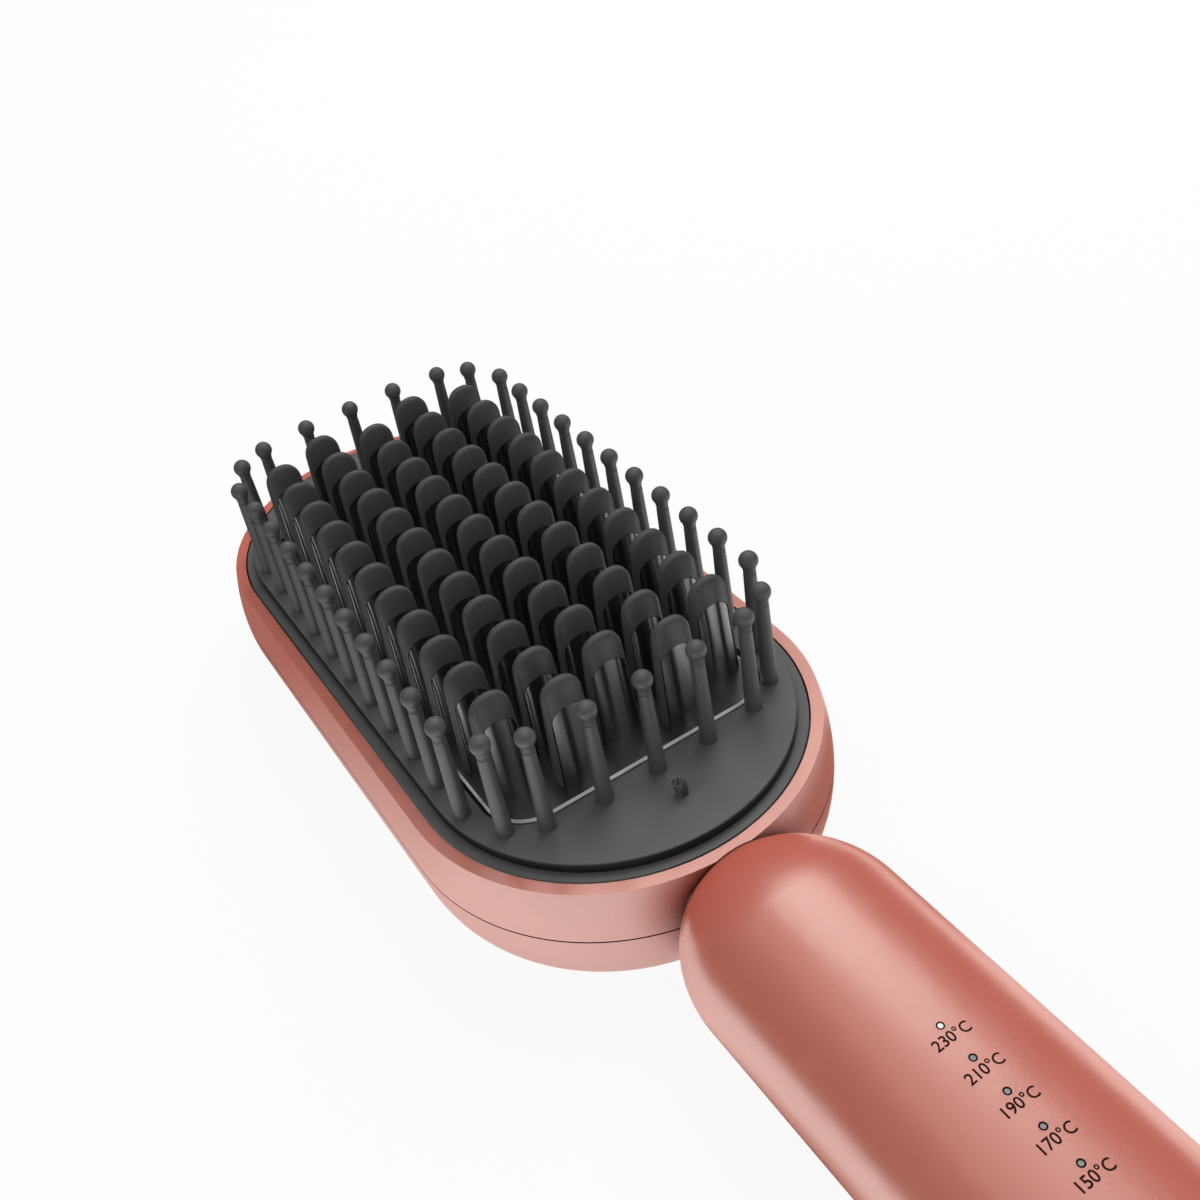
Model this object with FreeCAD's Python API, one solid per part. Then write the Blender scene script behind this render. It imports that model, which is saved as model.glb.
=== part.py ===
import FreeCAD, Part
import math
import os
from FreeCAD import Vector

# Heated straightening brush, lying on its flat back with the bristles up.
# Millimetres. +Y runs from the handle to the tip of the head, +Z is up.
# The origin is on the surface it lies on, in the middle of its length and width.

# Head outline: a stadium round the heater plate, two straight sides between two half round ends
plate_overrun = 22.8
plateau_margin = 5.35
border_show = 1.9
rim_width = 1.8
rim_lean = 1.1
casing_wall = 1.9
back_draw_in = 4.4
floor_thickness = 2.0

# Heights measured from the axis of the handle
split_drop = 1.8
rim_rise = 6.8
plateau_rise = 1.6

# Bristle plate and the ledge of the casing that carries it
border_thickness = 2.2
plateau_thickness = 1.8
border_width = 2.1
ledge_width = 1.6
ledge_thickness = 1.2
edge_round = 0.3

# Heater plate
plate_width = 45.5
plate_length = 91.0
plate_corner = 6.75
plate_thickness = 3.2
plate_recess = 0.2
plate_bevel = 0.45
joint_width = 0.6
joint_recess = 0.7
gasket_height = 2.2

# Heating blades in staggered columns
column_pitch = 8.96
row_pitch = 7.54
column_margin = 4.45
row_margin = 3.5
blade_base_width = 7.3
blade_top_width = 5.4
blade_base_thickness = 4.35
blade_top_thickness = 2.85
blade_height = 18.3
crest_half_width = 2.9
crest_drop = 3.15
window_share = 0.84
window_shoulder = 11.6
window_arch = 2.7
blade_inset = 0.12
blade_fit = 0.1
spigot_radius = 1.2
spigot_length = 2.0

# Cool pins round the edge
pin_pitch = 7.5
side_pin_gap = 2.95
side_pin_end_margin = 7.0
corner_pin_inset = (0.1, 1.1)
end_pin_steps = 2
end_pin_inset = 5.23
end_pin_gap = 2.8
end_pin_sag = 1.08
pin_base_radius = 1.2
pin_neck_radius = 0.75
pin_shank_radius = 0.8
pin_foot_radius = 1.05
pin_foot_height = 0.75
ball_radius = 1.45
ball_centre_height = 16.83
ball_lower_half = 2.5
ball_cut = 2.15
tip_groove = 0.12
tip_peg_radius = 0.45
tip_peg_length = 1.4

# Heater stack under the plate
stack_width = 14.0
stack_end_margin = 15.5
sheet_thickness = 0.25
electrode_thickness = 0.3
ceramic_thickness = 2.1
ceramic_count = 3
ceramic_gap = 1.5
clamp_thickness = 1.2
clamp_width = 12.0
clamp_end_length = 8.0
clamp_screw_from_stack = 5.0
clamp_boss_radius = 2.6
tab_reach = 3.0
tab_length = 4.0
tab_bottom_drop = 4.0

# Carrier frame, which holds the heater plate and clamps the bristle plate
carrier_thickness = 1.6
carrier_gap = 0.4
carrier_seat_width = 2.5
plate_boss_radius = 2.1
plate_boss_side_row = 3.5
plate_boss_inset = 6.5
plate_boss_gap = 6.0
post_from_pins = 1.2
post_y = 15.0
post_radius = 3.0
post_joint_drop = 3.0

# Sensors on the back of the heater plate
thermistor_radius = 1.2
thermistor_length = 7.0
fuse_radius = 1.9
fuse_length = 11.0

# Ion emitter near the handle
emitter_gap = 8.8
emitter_hole_radius = 1.5
emitter_bush_radius = 2.2
emitter_bush_depth = 6.9
emitter_socket_floor = 1.0
emitter_radius = 0.85
emitter_tip_radius = 1.2
emitter_rise = 3.3
generator_side_margin = 9.75
generator_length = 13.0
generator_headroom = 0.55
generator_from_emitter = 5.3

# Handle: an elliptical bar with a rounded nose that enters the end of the head
handle_width = 31.4
handle_height = 25.6
handle_length = 151.0
handle_wall = 1.8
nose_round = 17.0
nose_entry = 3.95
collar_show = 0.75
tail_round = 14.0
tail_flat = 2.0
tail_block = 15.0

# Neck frame between the head and the handle
neck_side_margin = 0.27
neck_top_margin = 0.1
neck_wall = 1.0
neck_flange_half_width = 10.5
neck_flange_thickness = 2.5
neck_flange_inset = 3.6
neck_flange_bottom = 5.5
neck_flange_drop = 0.4
neck_rib_half_width = 8.0
neck_rib_thickness = 1.4
neck_length_in_handle = 20.0
tongue_half_width = 4.5
tongue_thickness = 2.0
tongue_length = 10.5
front_screw_from_nose = 29.0

# Indicator windows, measured back from the nose
first_light_from_nose = 41.0
light_pitch = 4.9
light_to_button = 12.0
lens_radius = 0.55
lens_hole_radius = 0.68
lens_collar_radius = 1.0
lens_collar_height = 0.9
light_size = (1.6, 0.8, 0.7)

# Buttons, measured forward from the tail end of the control board
power_button_from_end = 10.0
power_button_spacing = 17.0
temperature_button_spacing = 13.0
button_radius = 4.5
button_rise = 0.7
button_crown = 0.45
button_flange_radius = 5.4
button_flange_thickness = 1.0
button_stem_radius = 1.5
button_travel = 0.6
button_fit = 0.15
switch_side = 6.0
switch_height = 2.6
switch_well_radius = 1.7
switch_well_depth = 2.0

# Boards
board_thickness = 1.6
control_board_drop = 9.8
control_board_width = 18.0
control_board_start = 35.0
control_board_from_tail = 38.0
power_board_height = 5.6
power_board_width = 20.0
power_board_start = 38.0
power_board_from_tail = 30.0
board_screw_inset = 2.0
control_screw_x = 7.5
power_screw_x = 8.0
board_post_radius = 1.8
capacitor_width = 14.0
capacitor_length = 12.0
capacitor_headroom = 1.6
capacitor_from_nose = 56.0
triac_size = (10.0, 9.0, 2.4)
terminal_width = 16.0
terminal_length = 9.0
terminal_headroom = 2.1
terminal_from_tail = 47.0

# Swivel cord inlet at the tail
inlet_bore_radius = 2.8
swivel_shaft_radius = 4.0
swivel_running_fit = 0.06
swivel_end_radius = 3.5
bush_radius = 5.5
bush_flange_radius = 7.4
bush_flange_thickness = 1.5
clip_radius = 5.6
clip_thickness = 1.2
clip_gap = 0.25
swivel_collar_radius = 6.0
swivel_collar_thickness = 2.0
swivel_nose_radius = 5.2
swivel_tip_radius = 4.2
swivel_reach = 9.0
swivel_gap = 0.4

# Screws and leads
small_shaft_radius = 0.9
small_head_radius = 1.7
small_head_height = 1.15
plate_shaft_radius = 1.0
plate_head_radius = 1.85
plate_head_height = 1.3
casing_shaft_radius = 1.2
casing_head_radius = 2.4
casing_head_height = 1.5
casing_recess_radius = 2.8
casing_boss_radius = 3.9
screw_fit = 0.06
tail_screw_x = 8.0
tail_screw_from_tail = 24.0
recess_seat_height = 4.5
front_seat_height = 3.2
heater_lead_radius = 0.8
sensor_lead_radius = 0.5
ion_lead_radius = 0.6
heater_lead_x = 4.3
heater_lead_drop = 1.4
sensor_lead_x = 3.9
sensor_lead_rise = 1.0
heater_lead_bend = 3.0
sensor_lead_bend = 1.5
lead_run = 3.0

# Clearances
seam_gap = 0.16
fit_gap = 0.05
nose_clearance = 0.15
lip_height = 1.5
lip_thickness = 0.8
lip_root = 2.0
lip_fit = 0.06

# Places worked out from the sizes above
plateau_radius = plate_width / 2 + plateau_margin
rim_inner_radius = plateau_radius + border_show
rim_outer_radius = rim_inner_radius + rim_width
split_radius = rim_outer_radius + rim_lean
head_straight = plate_length - plate_overrun
head_half = head_straight / 2 + split_radius
nose_from_head = head_half - nose_entry
overall_length = head_half + nose_from_head + handle_length + swivel_reach
head_y = overall_length / 2 - head_half
nose_y = head_y - nose_from_head
tail_y = nose_y - handle_length
nose_centre_y = nose_y - nose_round
tail_centre_y = tail_y - tail_flat + tail_round
cavity_end_y = tail_y + tail_block
handle_half_width = handle_width / 2
handle_half_height = handle_height / 2
axis_height = handle_half_height
split_height = axis_height - split_drop
rim_height = axis_height + rim_rise
plateau_height = rim_height + plateau_rise
nose_share = math.sqrt(1 - ((nose_round - nose_entry + casing_wall) / nose_round) ** 2)
neck_half_width = nose_share * handle_half_width - neck_side_margin
neck_half_height = nose_share * handle_half_height - neck_top_margin
heater_lead_height = axis_height - heater_lead_drop
sensor_lead_height = axis_height + sensor_lead_rise
control_board_height = handle_height - control_board_drop
tongue_bottom = axis_height - neck_half_height
tongue_top = tongue_bottom + tongue_thickness
wall_end_y = head_y - head_half
collar_y = wall_end_y + collar_show
blade_base = plateau_height - plate_recess
plate_bottom = blade_base - plate_thickness
ledge_top = rim_height - border_thickness
carrier_top = ledge_top - ledge_thickness
carrier_bottom = carrier_top - carrier_thickness
plateau_underside = plateau_height - plateau_thickness
inner_radius = split_radius - casing_wall
carrier_radius = inner_radius - carrier_gap
neck_flange_top = carrier_bottom - neck_flange_drop
neck_flange_y = wall_end_y + casing_wall + neck_flange_inset
post_joint = split_height - post_joint_drop
control_board_top = control_board_height + board_thickness
power_board_top = power_board_height + board_thickness
clamp_top = plate_bottom - 2 * sheet_thickness - 2 * electrode_thickness - ceramic_thickness
clamp_bottom = clamp_top - clamp_thickness
inner_half_width = handle_half_width - handle_wall
inner_half_height = handle_half_height - handle_wall
front_screw_y = nose_y - front_screw_from_nose
tail_screw_y = tail_y + tail_screw_from_tail
reach = overall_length
blade_columns = 2 * int((plate_width / 2 - column_margin) / column_pitch) + 1
long_column_rows = int((plate_length - 2 * row_margin) / row_pitch) + 1
short_column_rows = long_column_rows - 1
side_pin_count = 2 * int((plate_length / 2 - side_pin_end_margin) / pin_pitch) + 1
side_pin_x = plate_width / 2 + side_pin_gap
corner_pin_x = plate_width / 2 - corner_pin_inset[0]
corner_pin_y = plate_length / 2 - corner_pin_inset[1]
end_pin_y = plate_length / 2 + end_pin_gap
end_pin_spacing = (plate_width / 2 - end_pin_inset) / end_pin_steps
stack_length = plate_length - 2 * stack_end_margin
clamp_length = stack_length + 2 * clamp_end_length
clamp_screw_y = stack_length / 2 + clamp_screw_from_stack
plate_boss_x = plate_width / 2 - plate_boss_inset
plate_boss_y = plate_length / 2 + plate_boss_gap
post_x = side_pin_x - post_from_pins
sensor_x = (stack_width / 2 + plate_width / 2 - carrier_seat_width) / 2
emitter_y = plate_length / 2 + emitter_gap
generator_y = emitter_y - generator_from_emitter
control_board_end = handle_length - control_board_from_tail
power_board_end = handle_length - power_board_from_tail
power_button_from_nose = control_board_end - power_button_from_end
down_button_from_nose = power_button_from_nose - power_button_spacing
up_button_from_nose = down_button_from_nose - temperature_button_spacing
light_room = up_button_from_nose - light_to_button - first_light_from_nose
light_count = max(int(light_room / light_pitch), 0) + 1
terminal_from_nose = handle_length - terminal_from_tail
capacitor_end = capacitor_from_nose + capacitor_length / 2
triac_from_nose = (capacitor_end + terminal_from_nose - terminal_length / 2) / 2
board_room = control_board_height - power_board_top
capacitor_size = (capacitor_width, capacitor_length, board_room - capacitor_headroom)
terminal_size = (terminal_width, terminal_length, board_room - terminal_headroom)
generator_top = heater_lead_height - heater_lead_radius - generator_headroom
generator_bottom = floor_thickness + fit_gap
generator_width = plate_width - 2 * generator_side_margin


def line(a, b):
    return Part.LineSegment(Vector(*a), Vector(*b)).toShape()


def polyline(points):
    return [line(a, b) for a, b in zip(points, points[1:])]


def ellipse_arc(centre, radius_x, radius_z, start, end):
    """Part of an ellipse in the XZ plane, between two angles in degrees."""
    circle = Part.Circle(Vector(0, 0, 0), Vector(0, -1, 0), 1)
    circle.XAxis = Vector(1, 0, 0)
    arc = Part.ArcOfCircle(circle, math.radians(start), math.radians(end)).toShape()
    stretch = FreeCAD.Matrix()
    stretch.scale(radius_x, 1, radius_z)
    return arc.transformGeometry(stretch).translated(Vector(*centre))


def arc_through(a, b, c):
    return Part.Arc(Vector(*a), Vector(*b), Vector(*c)).toShape()


def face_of(edges):
    return Part.Face(Part.Wire(Part.__sortEdges__(edges)))


def stadium_body(edges):
    """A closed profile in the XZ plane carried round the head's outline."""
    face = face_of(edges)
    half = head_straight / 2
    side = face.translated(Vector(0, -half, 0)).extrude(Vector(0, head_straight, 0))
    start = face.translated(Vector(0, half, 0))
    far_end = start.revolve(Vector(0, half, 0), Vector(0, 0, 1), 180)
    other_side = side.mirror(Vector(0, 0, 0), Vector(1, 0, 0))
    near_end = far_end.mirror(Vector(0, 0, 0), Vector(0, 1, 0))
    body = side.multiFuse([far_end, other_side, near_end]).removeSplitter()
    return body.Solids[0].translated(Vector(0, head_y, 0))


def rounded_plate(width, length, corner, bottom, top):
    """A plate with round corners, centred under the head."""
    solid = Part.makeBox(width, length, top - bottom, Vector(-width / 2, -length / 2, bottom))
    upright = [e for e in solid.Edges if abs(e.tangentAt(e.FirstParameter).z) > 0.9]
    return solid.makeFillet(corner, upright).translated(Vector(0, head_y, 0))


def column(radius, bottom, top, x, y):
    return Part.makeCylinder(radius, top - bottom, Vector(x, y, bottom))


def along_y(radius, start, end, x=0.0, z=None):
    height = axis_height if z is None else z
    return Part.makeCylinder(radius, end - start, Vector(x, start, height), Vector(0, 1, 0))


def block(size, x, y, bottom):
    return Part.makeBox(size[0], size[1], size[2], Vector(x - size[0] / 2, y - size[1] / 2, bottom))


def above(height):
    return Part.makeBox(2 * reach, 2 * reach, reach, Vector(-reach, -reach, height))


def below(height):
    return Part.makeBox(2 * reach, 2 * reach, reach, Vector(-reach, -reach, height - reach))


def between_y(start, end):
    return Part.makeBox(2 * reach, end - start, 2 * reach, Vector(-reach, start, -reach))


def spun(points_and_arcs):
    """A profile in the XZ plane turned about the Z axis."""
    return face_of(points_and_arcs).revolve(Vector(0, 0, 0), Vector(0, 0, 1), 360)


def capsule(half_width, half_height, nose, nose_cut, tail, tail_cut):
    """The handle's bar: round ends on a straight length, flattened to an ellipse."""
    nose_tip = nose_centre_y + nose
    start = min(nose_cut, nose_tip)
    start_share = (start - nose_centre_y) / nose
    start_angle = math.degrees(math.asin(min(1.0, start_share)))
    end_share = (tail_centre_y - tail_cut) / tail
    end_angle = math.degrees(math.asin(min(1.0, end_share)))
    start_radius = half_width * math.cos(math.radians(start_angle))
    end_radius = half_width * math.cos(math.radians(end_angle))
    edges = [
        ellipse_arc((0, 0, nose_centre_y), half_width, nose, 0, start_angle),
        line((half_width, 0, nose_centre_y), (half_width, 0, tail_centre_y)),
        ellipse_arc((0, 0, tail_centre_y), half_width, tail, -end_angle, 0),
        line((0, 0, tail_cut), (0, 0, start)),
    ]
    if start_radius > fit_gap:
        edges.append(line((0, 0, start), (start_radius, 0, start)))
    if end_radius > fit_gap:
        edges.append(line((0, 0, tail_cut), (end_radius, 0, tail_cut)))
    bar = spun(edges)
    bar.rotate(Vector(0, 0, 0), Vector(1, 0, 0), -90)
    flatten = FreeCAD.Matrix()
    flatten.scale(1, 1, half_height / half_width)
    return bar.transformGeometry(flatten).translated(Vector(0, 0, axis_height))


def elliptic_bar(half_width, half_height, start, end):
    circle = Part.makeCylinder(half_width, end - start, Vector(0, start, 0), Vector(0, 1, 0))
    flatten = FreeCAD.Matrix()
    flatten.scale(1, 1, half_height / half_width)
    return circle.transformGeometry(flatten).translated(Vector(0, 0, axis_height))


def cross_slot(radius, depth):
    arm = Part.makeBox(radius * 1.2, radius * 0.28, depth, Vector(-radius * 0.6, -radius * 0.14, 0))
    other = arm.copy()
    other.rotate(Vector(0, 0, 0), Vector(0, 0, 1), 90)
    return arm.fuse(other)


def screw(head_radius, head_height, shaft_radius, shaft_length):
    """A screw standing on its head, with the seat of the head at height 0."""
    head = Part.makeCylinder(head_radius, head_height, Vector(0, 0, -head_height))
    shaft = Part.makeCylinder(shaft_radius, shaft_length)
    slot = cross_slot(head_radius, head_height * 0.5).translated(Vector(0, 0, -head_height))
    return head.fuse(shaft).cut(slot).removeSplitter()


def upside_down(shape):
    turned = shape.copy()
    turned.rotate(Vector(0, 0, 0), Vector(1, 0, 0), 180)
    return turned


def lead(points, radius, bend):
    """A wire of straight runs joined by tangent arcs."""
    corners = [Vector(*p) for p in points]
    edges = []
    begin = corners[0]
    for before, corner, after in zip(corners, corners[1:], corners[2:]):
        arriving = (corner - before).normalize()
        leaving = (after - corner).normalize()
        half_turn = arriving.getAngle(leaving) / 2
        trim = bend * math.tan(half_turn)
        first = corner - arriving * trim
        last = corner + leaving * trim
        inward = (leaving - arriving).normalize()
        middle = corner + inward * (bend / math.cos(half_turn) - bend)
        edges.append(Part.LineSegment(begin, first).toShape())
        edges.append(Part.Arc(first, middle, last).toShape())
        begin = last
    edges.append(Part.LineSegment(begin, corners[-1]).toShape())
    path = Part.Wire(edges)
    section = Part.Wire(Part.Circle(corners[0], corners[1] - corners[0], radius).toShape())
    return path.makePipeShell([section], True, False)


def mirrored(shape):
    return shape.mirror(Vector(0, 0, 0), Vector(1, 0, 0))


def pin_places():
    places = [(sx * side_pin_x, (i - (side_pin_count - 1) / 2) * pin_pitch)
              for sx in (-1, 1) for i in range(side_pin_count)]
    places += [(sx * corner_pin_x, sy * corner_pin_y) for sx in (-1, 1) for sy in (-1, 1)]
    for sy in (-1, 1):
        for i in range(-end_pin_steps, end_pin_steps + 1):
            sag = end_pin_sag * (i / end_pin_steps) ** 4
            places.append((i * end_pin_spacing, sy * (end_pin_y - sag)))
    return [(x, y + head_y) for x, y in places]


def blade_places():
    places = []
    half = blade_columns // 2
    for i in range(-half, half + 1):
        rows = long_column_rows if i % 2 else short_column_rows
        for row in range(rows):
            places.append((i * column_pitch, head_y + (row - (rows - 1) / 2) * row_pitch))
    return places


def plate_screw_places():
    side = plate_boss_side_row * pin_pitch
    places = [(sx * side_pin_x, sy * side) for sx in (-1, 1) for sy in (-1, 1)]
    places += [(sx * plate_boss_x, sy * plate_boss_y) for sx in (-1, 1) for sy in (-1, 1)]
    return [(x, y + head_y) for x, y in places]


def clamp_screw_places():
    return [head_y - clamp_screw_y, head_y + clamp_screw_y]


def post_places():
    return [(sx * post_x, head_y + sy * post_y) for sx in (-1, 1) for sy in (-1, 1)]


def tail_screw_places():
    return [(-tail_screw_x, tail_screw_y), (tail_screw_x, tail_screw_y)]


def light_places():
    return [nose_y - first_light_from_nose - i * light_pitch for i in range(light_count)]


def board_screw_places(start, end, x):
    ys = (nose_y - start - board_screw_inset, nose_y - end + board_screw_inset)
    return [(sx * x, y) for sx in (-1, 1) for y in ys]


button_places = {
    "temperature_up_button": nose_y - up_button_from_nose,
    "temperature_down_button": nose_y - down_button_from_nose,
    "power_button": nose_y - power_button_from_nose,
}


def head_top_casing():
    rise = rim_height - split_height
    flare = split_radius - rim_outer_radius
    sweep = (rise * rise + flare * flare) / (2 * flare)
    bottom = split_height + seam_gap / 2
    middle_z = split_height + rise / 2
    middle_x = split_radius - sweep + math.sqrt(sweep * sweep - (rise / 2) ** 2)
    bottom_x = split_radius - sweep + math.sqrt(sweep * sweep - (seam_gap / 2) ** 2)
    bore = inner_radius + lip_fit
    ledge_radius = rim_inner_radius - ledge_width
    edges = [arc_through((rim_outer_radius, 0, rim_height), (middle_x, 0, middle_z), (bottom_x, 0, bottom))]
    edges += polyline([
        (bottom_x, 0, bottom),
        (bore, 0, bottom),
        (bore, 0, carrier_top),
        (ledge_radius, 0, carrier_top),
        (ledge_radius, 0, ledge_top),
        (rim_inner_radius, 0, ledge_top),
        (rim_inner_radius, 0, rim_height),
        (rim_outer_radius, 0, rim_height),
    ])
    return stadium_body(edges).cut(nose_room()).cut(neck_room()).removeSplitter()


def nose_room():
    return capsule(handle_half_width + nose_clearance, handle_half_height + nose_clearance,
                   nose_round + nose_clearance, nose_y + nose_clearance,
                   tail_round, tail_y)


def neck_room():
    return elliptic_bar(neck_half_width + nose_clearance, neck_half_height + nose_clearance,
                        wall_end_y, neck_flange_y)


def head_back_casing():
    top = split_height - seam_gap / 2
    inner_floor = inner_radius - back_draw_in
    lip_radius = inner_radius - lip_thickness
    edges = [
        ellipse_arc((split_radius - back_draw_in, 0, top), back_draw_in, top, -90, 0),
        ellipse_arc((inner_floor, 0, top), back_draw_in, top - floor_thickness, -90, 0),
    ]
    edges += polyline([(0, 0, 0), (split_radius - back_draw_in, 0, 0)])
    edges += polyline([(split_radius, 0, top), (inner_radius, 0, top)])
    edges += polyline([(inner_floor, 0, floor_thickness), (0, 0, floor_thickness), (0, 0, 0)])
    shell = stadium_body(edges)
    lip = stadium_body(polyline([
        (lip_radius, 0, top - lip_root),
        (inner_radius + fit_gap, 0, top - lip_root),
        (inner_radius + fit_gap, 0, top - fit_gap),
        (inner_radius, 0, top - fit_gap),
        (inner_radius, 0, top + lip_height),
        (lip_radius, 0, top + lip_height),
        (lip_radius, 0, top - lip_root),
    ]))
    posts = [column(casing_boss_radius, floor_thickness / 2, post_joint, x, y) for x, y in post_places()]
    rib_y = neck_flange_y + neck_flange_thickness + fit_gap
    rib = Part.makeBox(2 * neck_rib_half_width, neck_rib_thickness, axis_height - neck_half_height,
                       Vector(-neck_rib_half_width, rib_y, floor_thickness / 2))
    shell = shell.multiFuse([lip, rib] + posts)
    holes = [column(casing_recess_radius, -fit_gap, recess_seat_height, x, y) for x, y in post_places()]
    holes += [column(casing_shaft_radius + blade_fit, 0, split_height, x, y) for x, y in post_places()]
    return shell.cut(Part.makeCompound(holes)).cut(nose_room()).cut(neck_room()).removeSplitter()


def bristle_plate():
    outer = rim_inner_radius - edge_round
    hollow = outer - border_width
    round_centre = (plateau_radius - edge_round, 0, plateau_height - edge_round)
    edges = [ellipse_arc(round_centre, edge_round, edge_round, 0, 90)]
    edges += polyline([
        (plateau_radius - edge_round, 0, plateau_height),
        (0, 0, plateau_height),
        (0, 0, plateau_underside),
        (hollow, 0, plateau_underside),
        (hollow, 0, ledge_top),
        (outer, 0, ledge_top),
        (outer, 0, rim_height),
        (plateau_radius, 0, rim_height),
        (plateau_radius, 0, plateau_height - edge_round),
    ])
    plate = stadium_body(edges)
    bosses = [column(plate_boss_radius, carrier_top + fit_gap, plateau_underside, x, y)
              for x, y in plate_screw_places()]
    window = rounded_plate(plate_width + 2 * joint_width, plate_length + 2 * joint_width,
                           plate_corner + joint_width, carrier_bottom, plateau_height + 1)
    pin_hole = pin_shank_radius + fit_gap
    holes = [column(pin_hole, ledge_top, plateau_height + 1, x, y) for x, y in pin_places()]
    holes.append(column(emitter_hole_radius, ledge_top, plateau_height + 1, 0, head_y - emitter_y))
    screw_hole = plate_shaft_radius + screw_fit
    hole_top = plateau_underside + blade_fit
    holes += [column(screw_hole, carrier_bottom, hole_top, x, y) for x, y in plate_screw_places()]
    return plate.multiFuse(bosses).cut(window).cut(Part.makeCompound(holes)).removeSplitter()


def edge_pins():
    neck = plateau_height + ball_centre_height - ball_cut - tip_groove
    foot_top = plateau_underside - fit_gap
    pin = spun(polyline([
        (0, 0, foot_top - pin_foot_height),
        (pin_foot_radius, 0, foot_top - pin_foot_height),
        (pin_foot_radius, 0, foot_top),
        (pin_shank_radius, 0, foot_top),
        (pin_shank_radius, 0, plateau_height),
        (pin_base_radius, 0, plateau_height),
        (pin_neck_radius, 0, neck),
        (tip_peg_radius, 0, neck),
        (tip_peg_radius, 0, neck + tip_peg_length),
        (0, 0, neck + tip_peg_length),
        (0, 0, foot_top - pin_foot_height),
    ]))
    return Part.makeCompound([pin.translated(Vector(x, y, 0)) for x, y in pin_places()])


def pin_tips():
    centre = plateau_height + ball_centre_height
    cut_share = ball_cut / ball_lower_half
    cut_angle = math.degrees(math.asin(cut_share))
    cut_radius = ball_radius * math.cos(math.radians(cut_angle))
    socket = tip_peg_radius + fit_gap
    socket_top = centre - ball_cut + tip_peg_length
    edges = [
        ellipse_arc((0, 0, centre), ball_radius, ball_radius, 0, 90),
        ellipse_arc((0, 0, centre), ball_radius, ball_lower_half, -cut_angle, 0),
    ]
    edges += polyline([
        (cut_radius, 0, centre - ball_cut),
        (socket, 0, centre - ball_cut),
        (socket, 0, socket_top),
        (0, 0, socket_top),
        (0, 0, centre + ball_radius),
    ])
    tip = spun(edges)
    return Part.makeCompound([tip.translated(Vector(x, y, 0)) for x, y in pin_places()])


def blade_half(share):
    """Half width and half thickness of a blade at a share of its height."""
    width = blade_base_width + (blade_top_width - blade_base_width) * share
    thickness = blade_base_thickness + (blade_top_thickness - blade_base_thickness) * share
    return width / 2, thickness / 2


def blade_column(inset):
    """The tapered elliptical column that a blade and its cap share."""
    sections = []
    for share in (0.0, 1.0):
        half_width, half_thickness = blade_half(share)
        level = Vector(0, 0, blade_base + share * blade_height)
        outline = Part.Ellipse(level, half_width - inset, half_thickness - inset)
        sections.append(Part.Wire(outline.toShape()))
    return Part.makeLoft(sections, True, True)


def window_prism(inset):
    """The arched window through a cap, from front to back."""
    shoulder = blade_base + window_shoulder
    base_x = window_share * blade_half(0.0)[0] - inset
    shoulder_x = window_share * blade_half(window_shoulder / blade_height)[0] - inset
    foot = blade_base - 1
    edges = polyline([
        (-shoulder_x, 0, shoulder),
        (-base_x, 0, blade_base),
        (-base_x, 0, foot),
        (base_x, 0, foot),
        (base_x, 0, blade_base),
        (shoulder_x, 0, shoulder),
    ])
    edges.append(arc_through((shoulder_x, 0, shoulder), (0, 0, shoulder + window_arch - inset),
                             (-shoulder_x, 0, shoulder)))
    depth = 2 * blade_base_thickness
    return face_of(edges).translated(Vector(0, -depth / 2, 0)).extrude(Vector(0, depth, 0))


def heating_blades():
    body = blade_column(blade_inset).common(window_prism(blade_fit)).common(above(blade_base))
    spigot = column(spigot_radius, blade_base - spigot_length, blade_base + 1, 0, 0)
    blade = body.fuse(spigot).removeSplitter()
    return Part.makeCompound([blade.translated(Vector(x, y, 0)) for x, y in blade_places()])


def blade_caps():
    crest = blade_base + blade_height
    ridge = ellipse_arc((0, 0, crest - crest_drop), crest_half_width, crest_drop, 0, 180)
    sides = polyline([
        (-crest_half_width, 0, crest - crest_drop),
        (-blade_base_width, 0, blade_base + fit_gap),
        (blade_base_width, 0, blade_base + fit_gap),
        (crest_half_width, 0, crest - crest_drop),
    ])
    depth = 2 * blade_base_thickness
    outline = face_of([ridge] + sides).translated(Vector(0, -depth / 2, 0)).extrude(Vector(0, depth, 0))
    cap = blade_column(0.0).common(outline).cut(window_prism(0.0)).removeSplitter()
    return Part.makeCompound([cap.translated(Vector(x, y, 0)) for x, y in blade_places()])


def heater_plate():
    plate = rounded_plate(plate_width, plate_length, plate_corner, plate_bottom, blade_base)
    rim = [e for e in plate.Edges if min(v.Z for v in e.Vertexes) > blade_base - fit_gap]
    plate = plate.makeChamfer(plate_bevel, rim)
    socket_bottom = blade_base - spigot_length - fit_gap
    bosses = [column(clamp_boss_radius, clamp_top, plate_bottom, 0, y) for y in clamp_screw_places()]
    holes = [column(spigot_radius + fit_gap, socket_bottom, plateau_height, x, y) for x, y in blade_places()]
    holes += [column(small_shaft_radius + screw_fit, clamp_bottom, socket_bottom, 0, y)
              for y in clamp_screw_places()]
    return plate.multiFuse(bosses).cut(Part.makeCompound(holes)).removeSplitter()


def plate_gasket():
    top = plateau_height - joint_recess
    grow = 2 * (joint_width - fit_gap)
    outer = rounded_plate(plate_width + grow, plate_length + grow, plate_corner + grow / 2,
                          top - gasket_height, top)
    inner = rounded_plate(plate_width + 2 * fit_gap, plate_length + 2 * fit_gap, plate_corner + fit_gap,
                          top - gasket_height - 1, top + 1)
    return outer.cut(inner)


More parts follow.
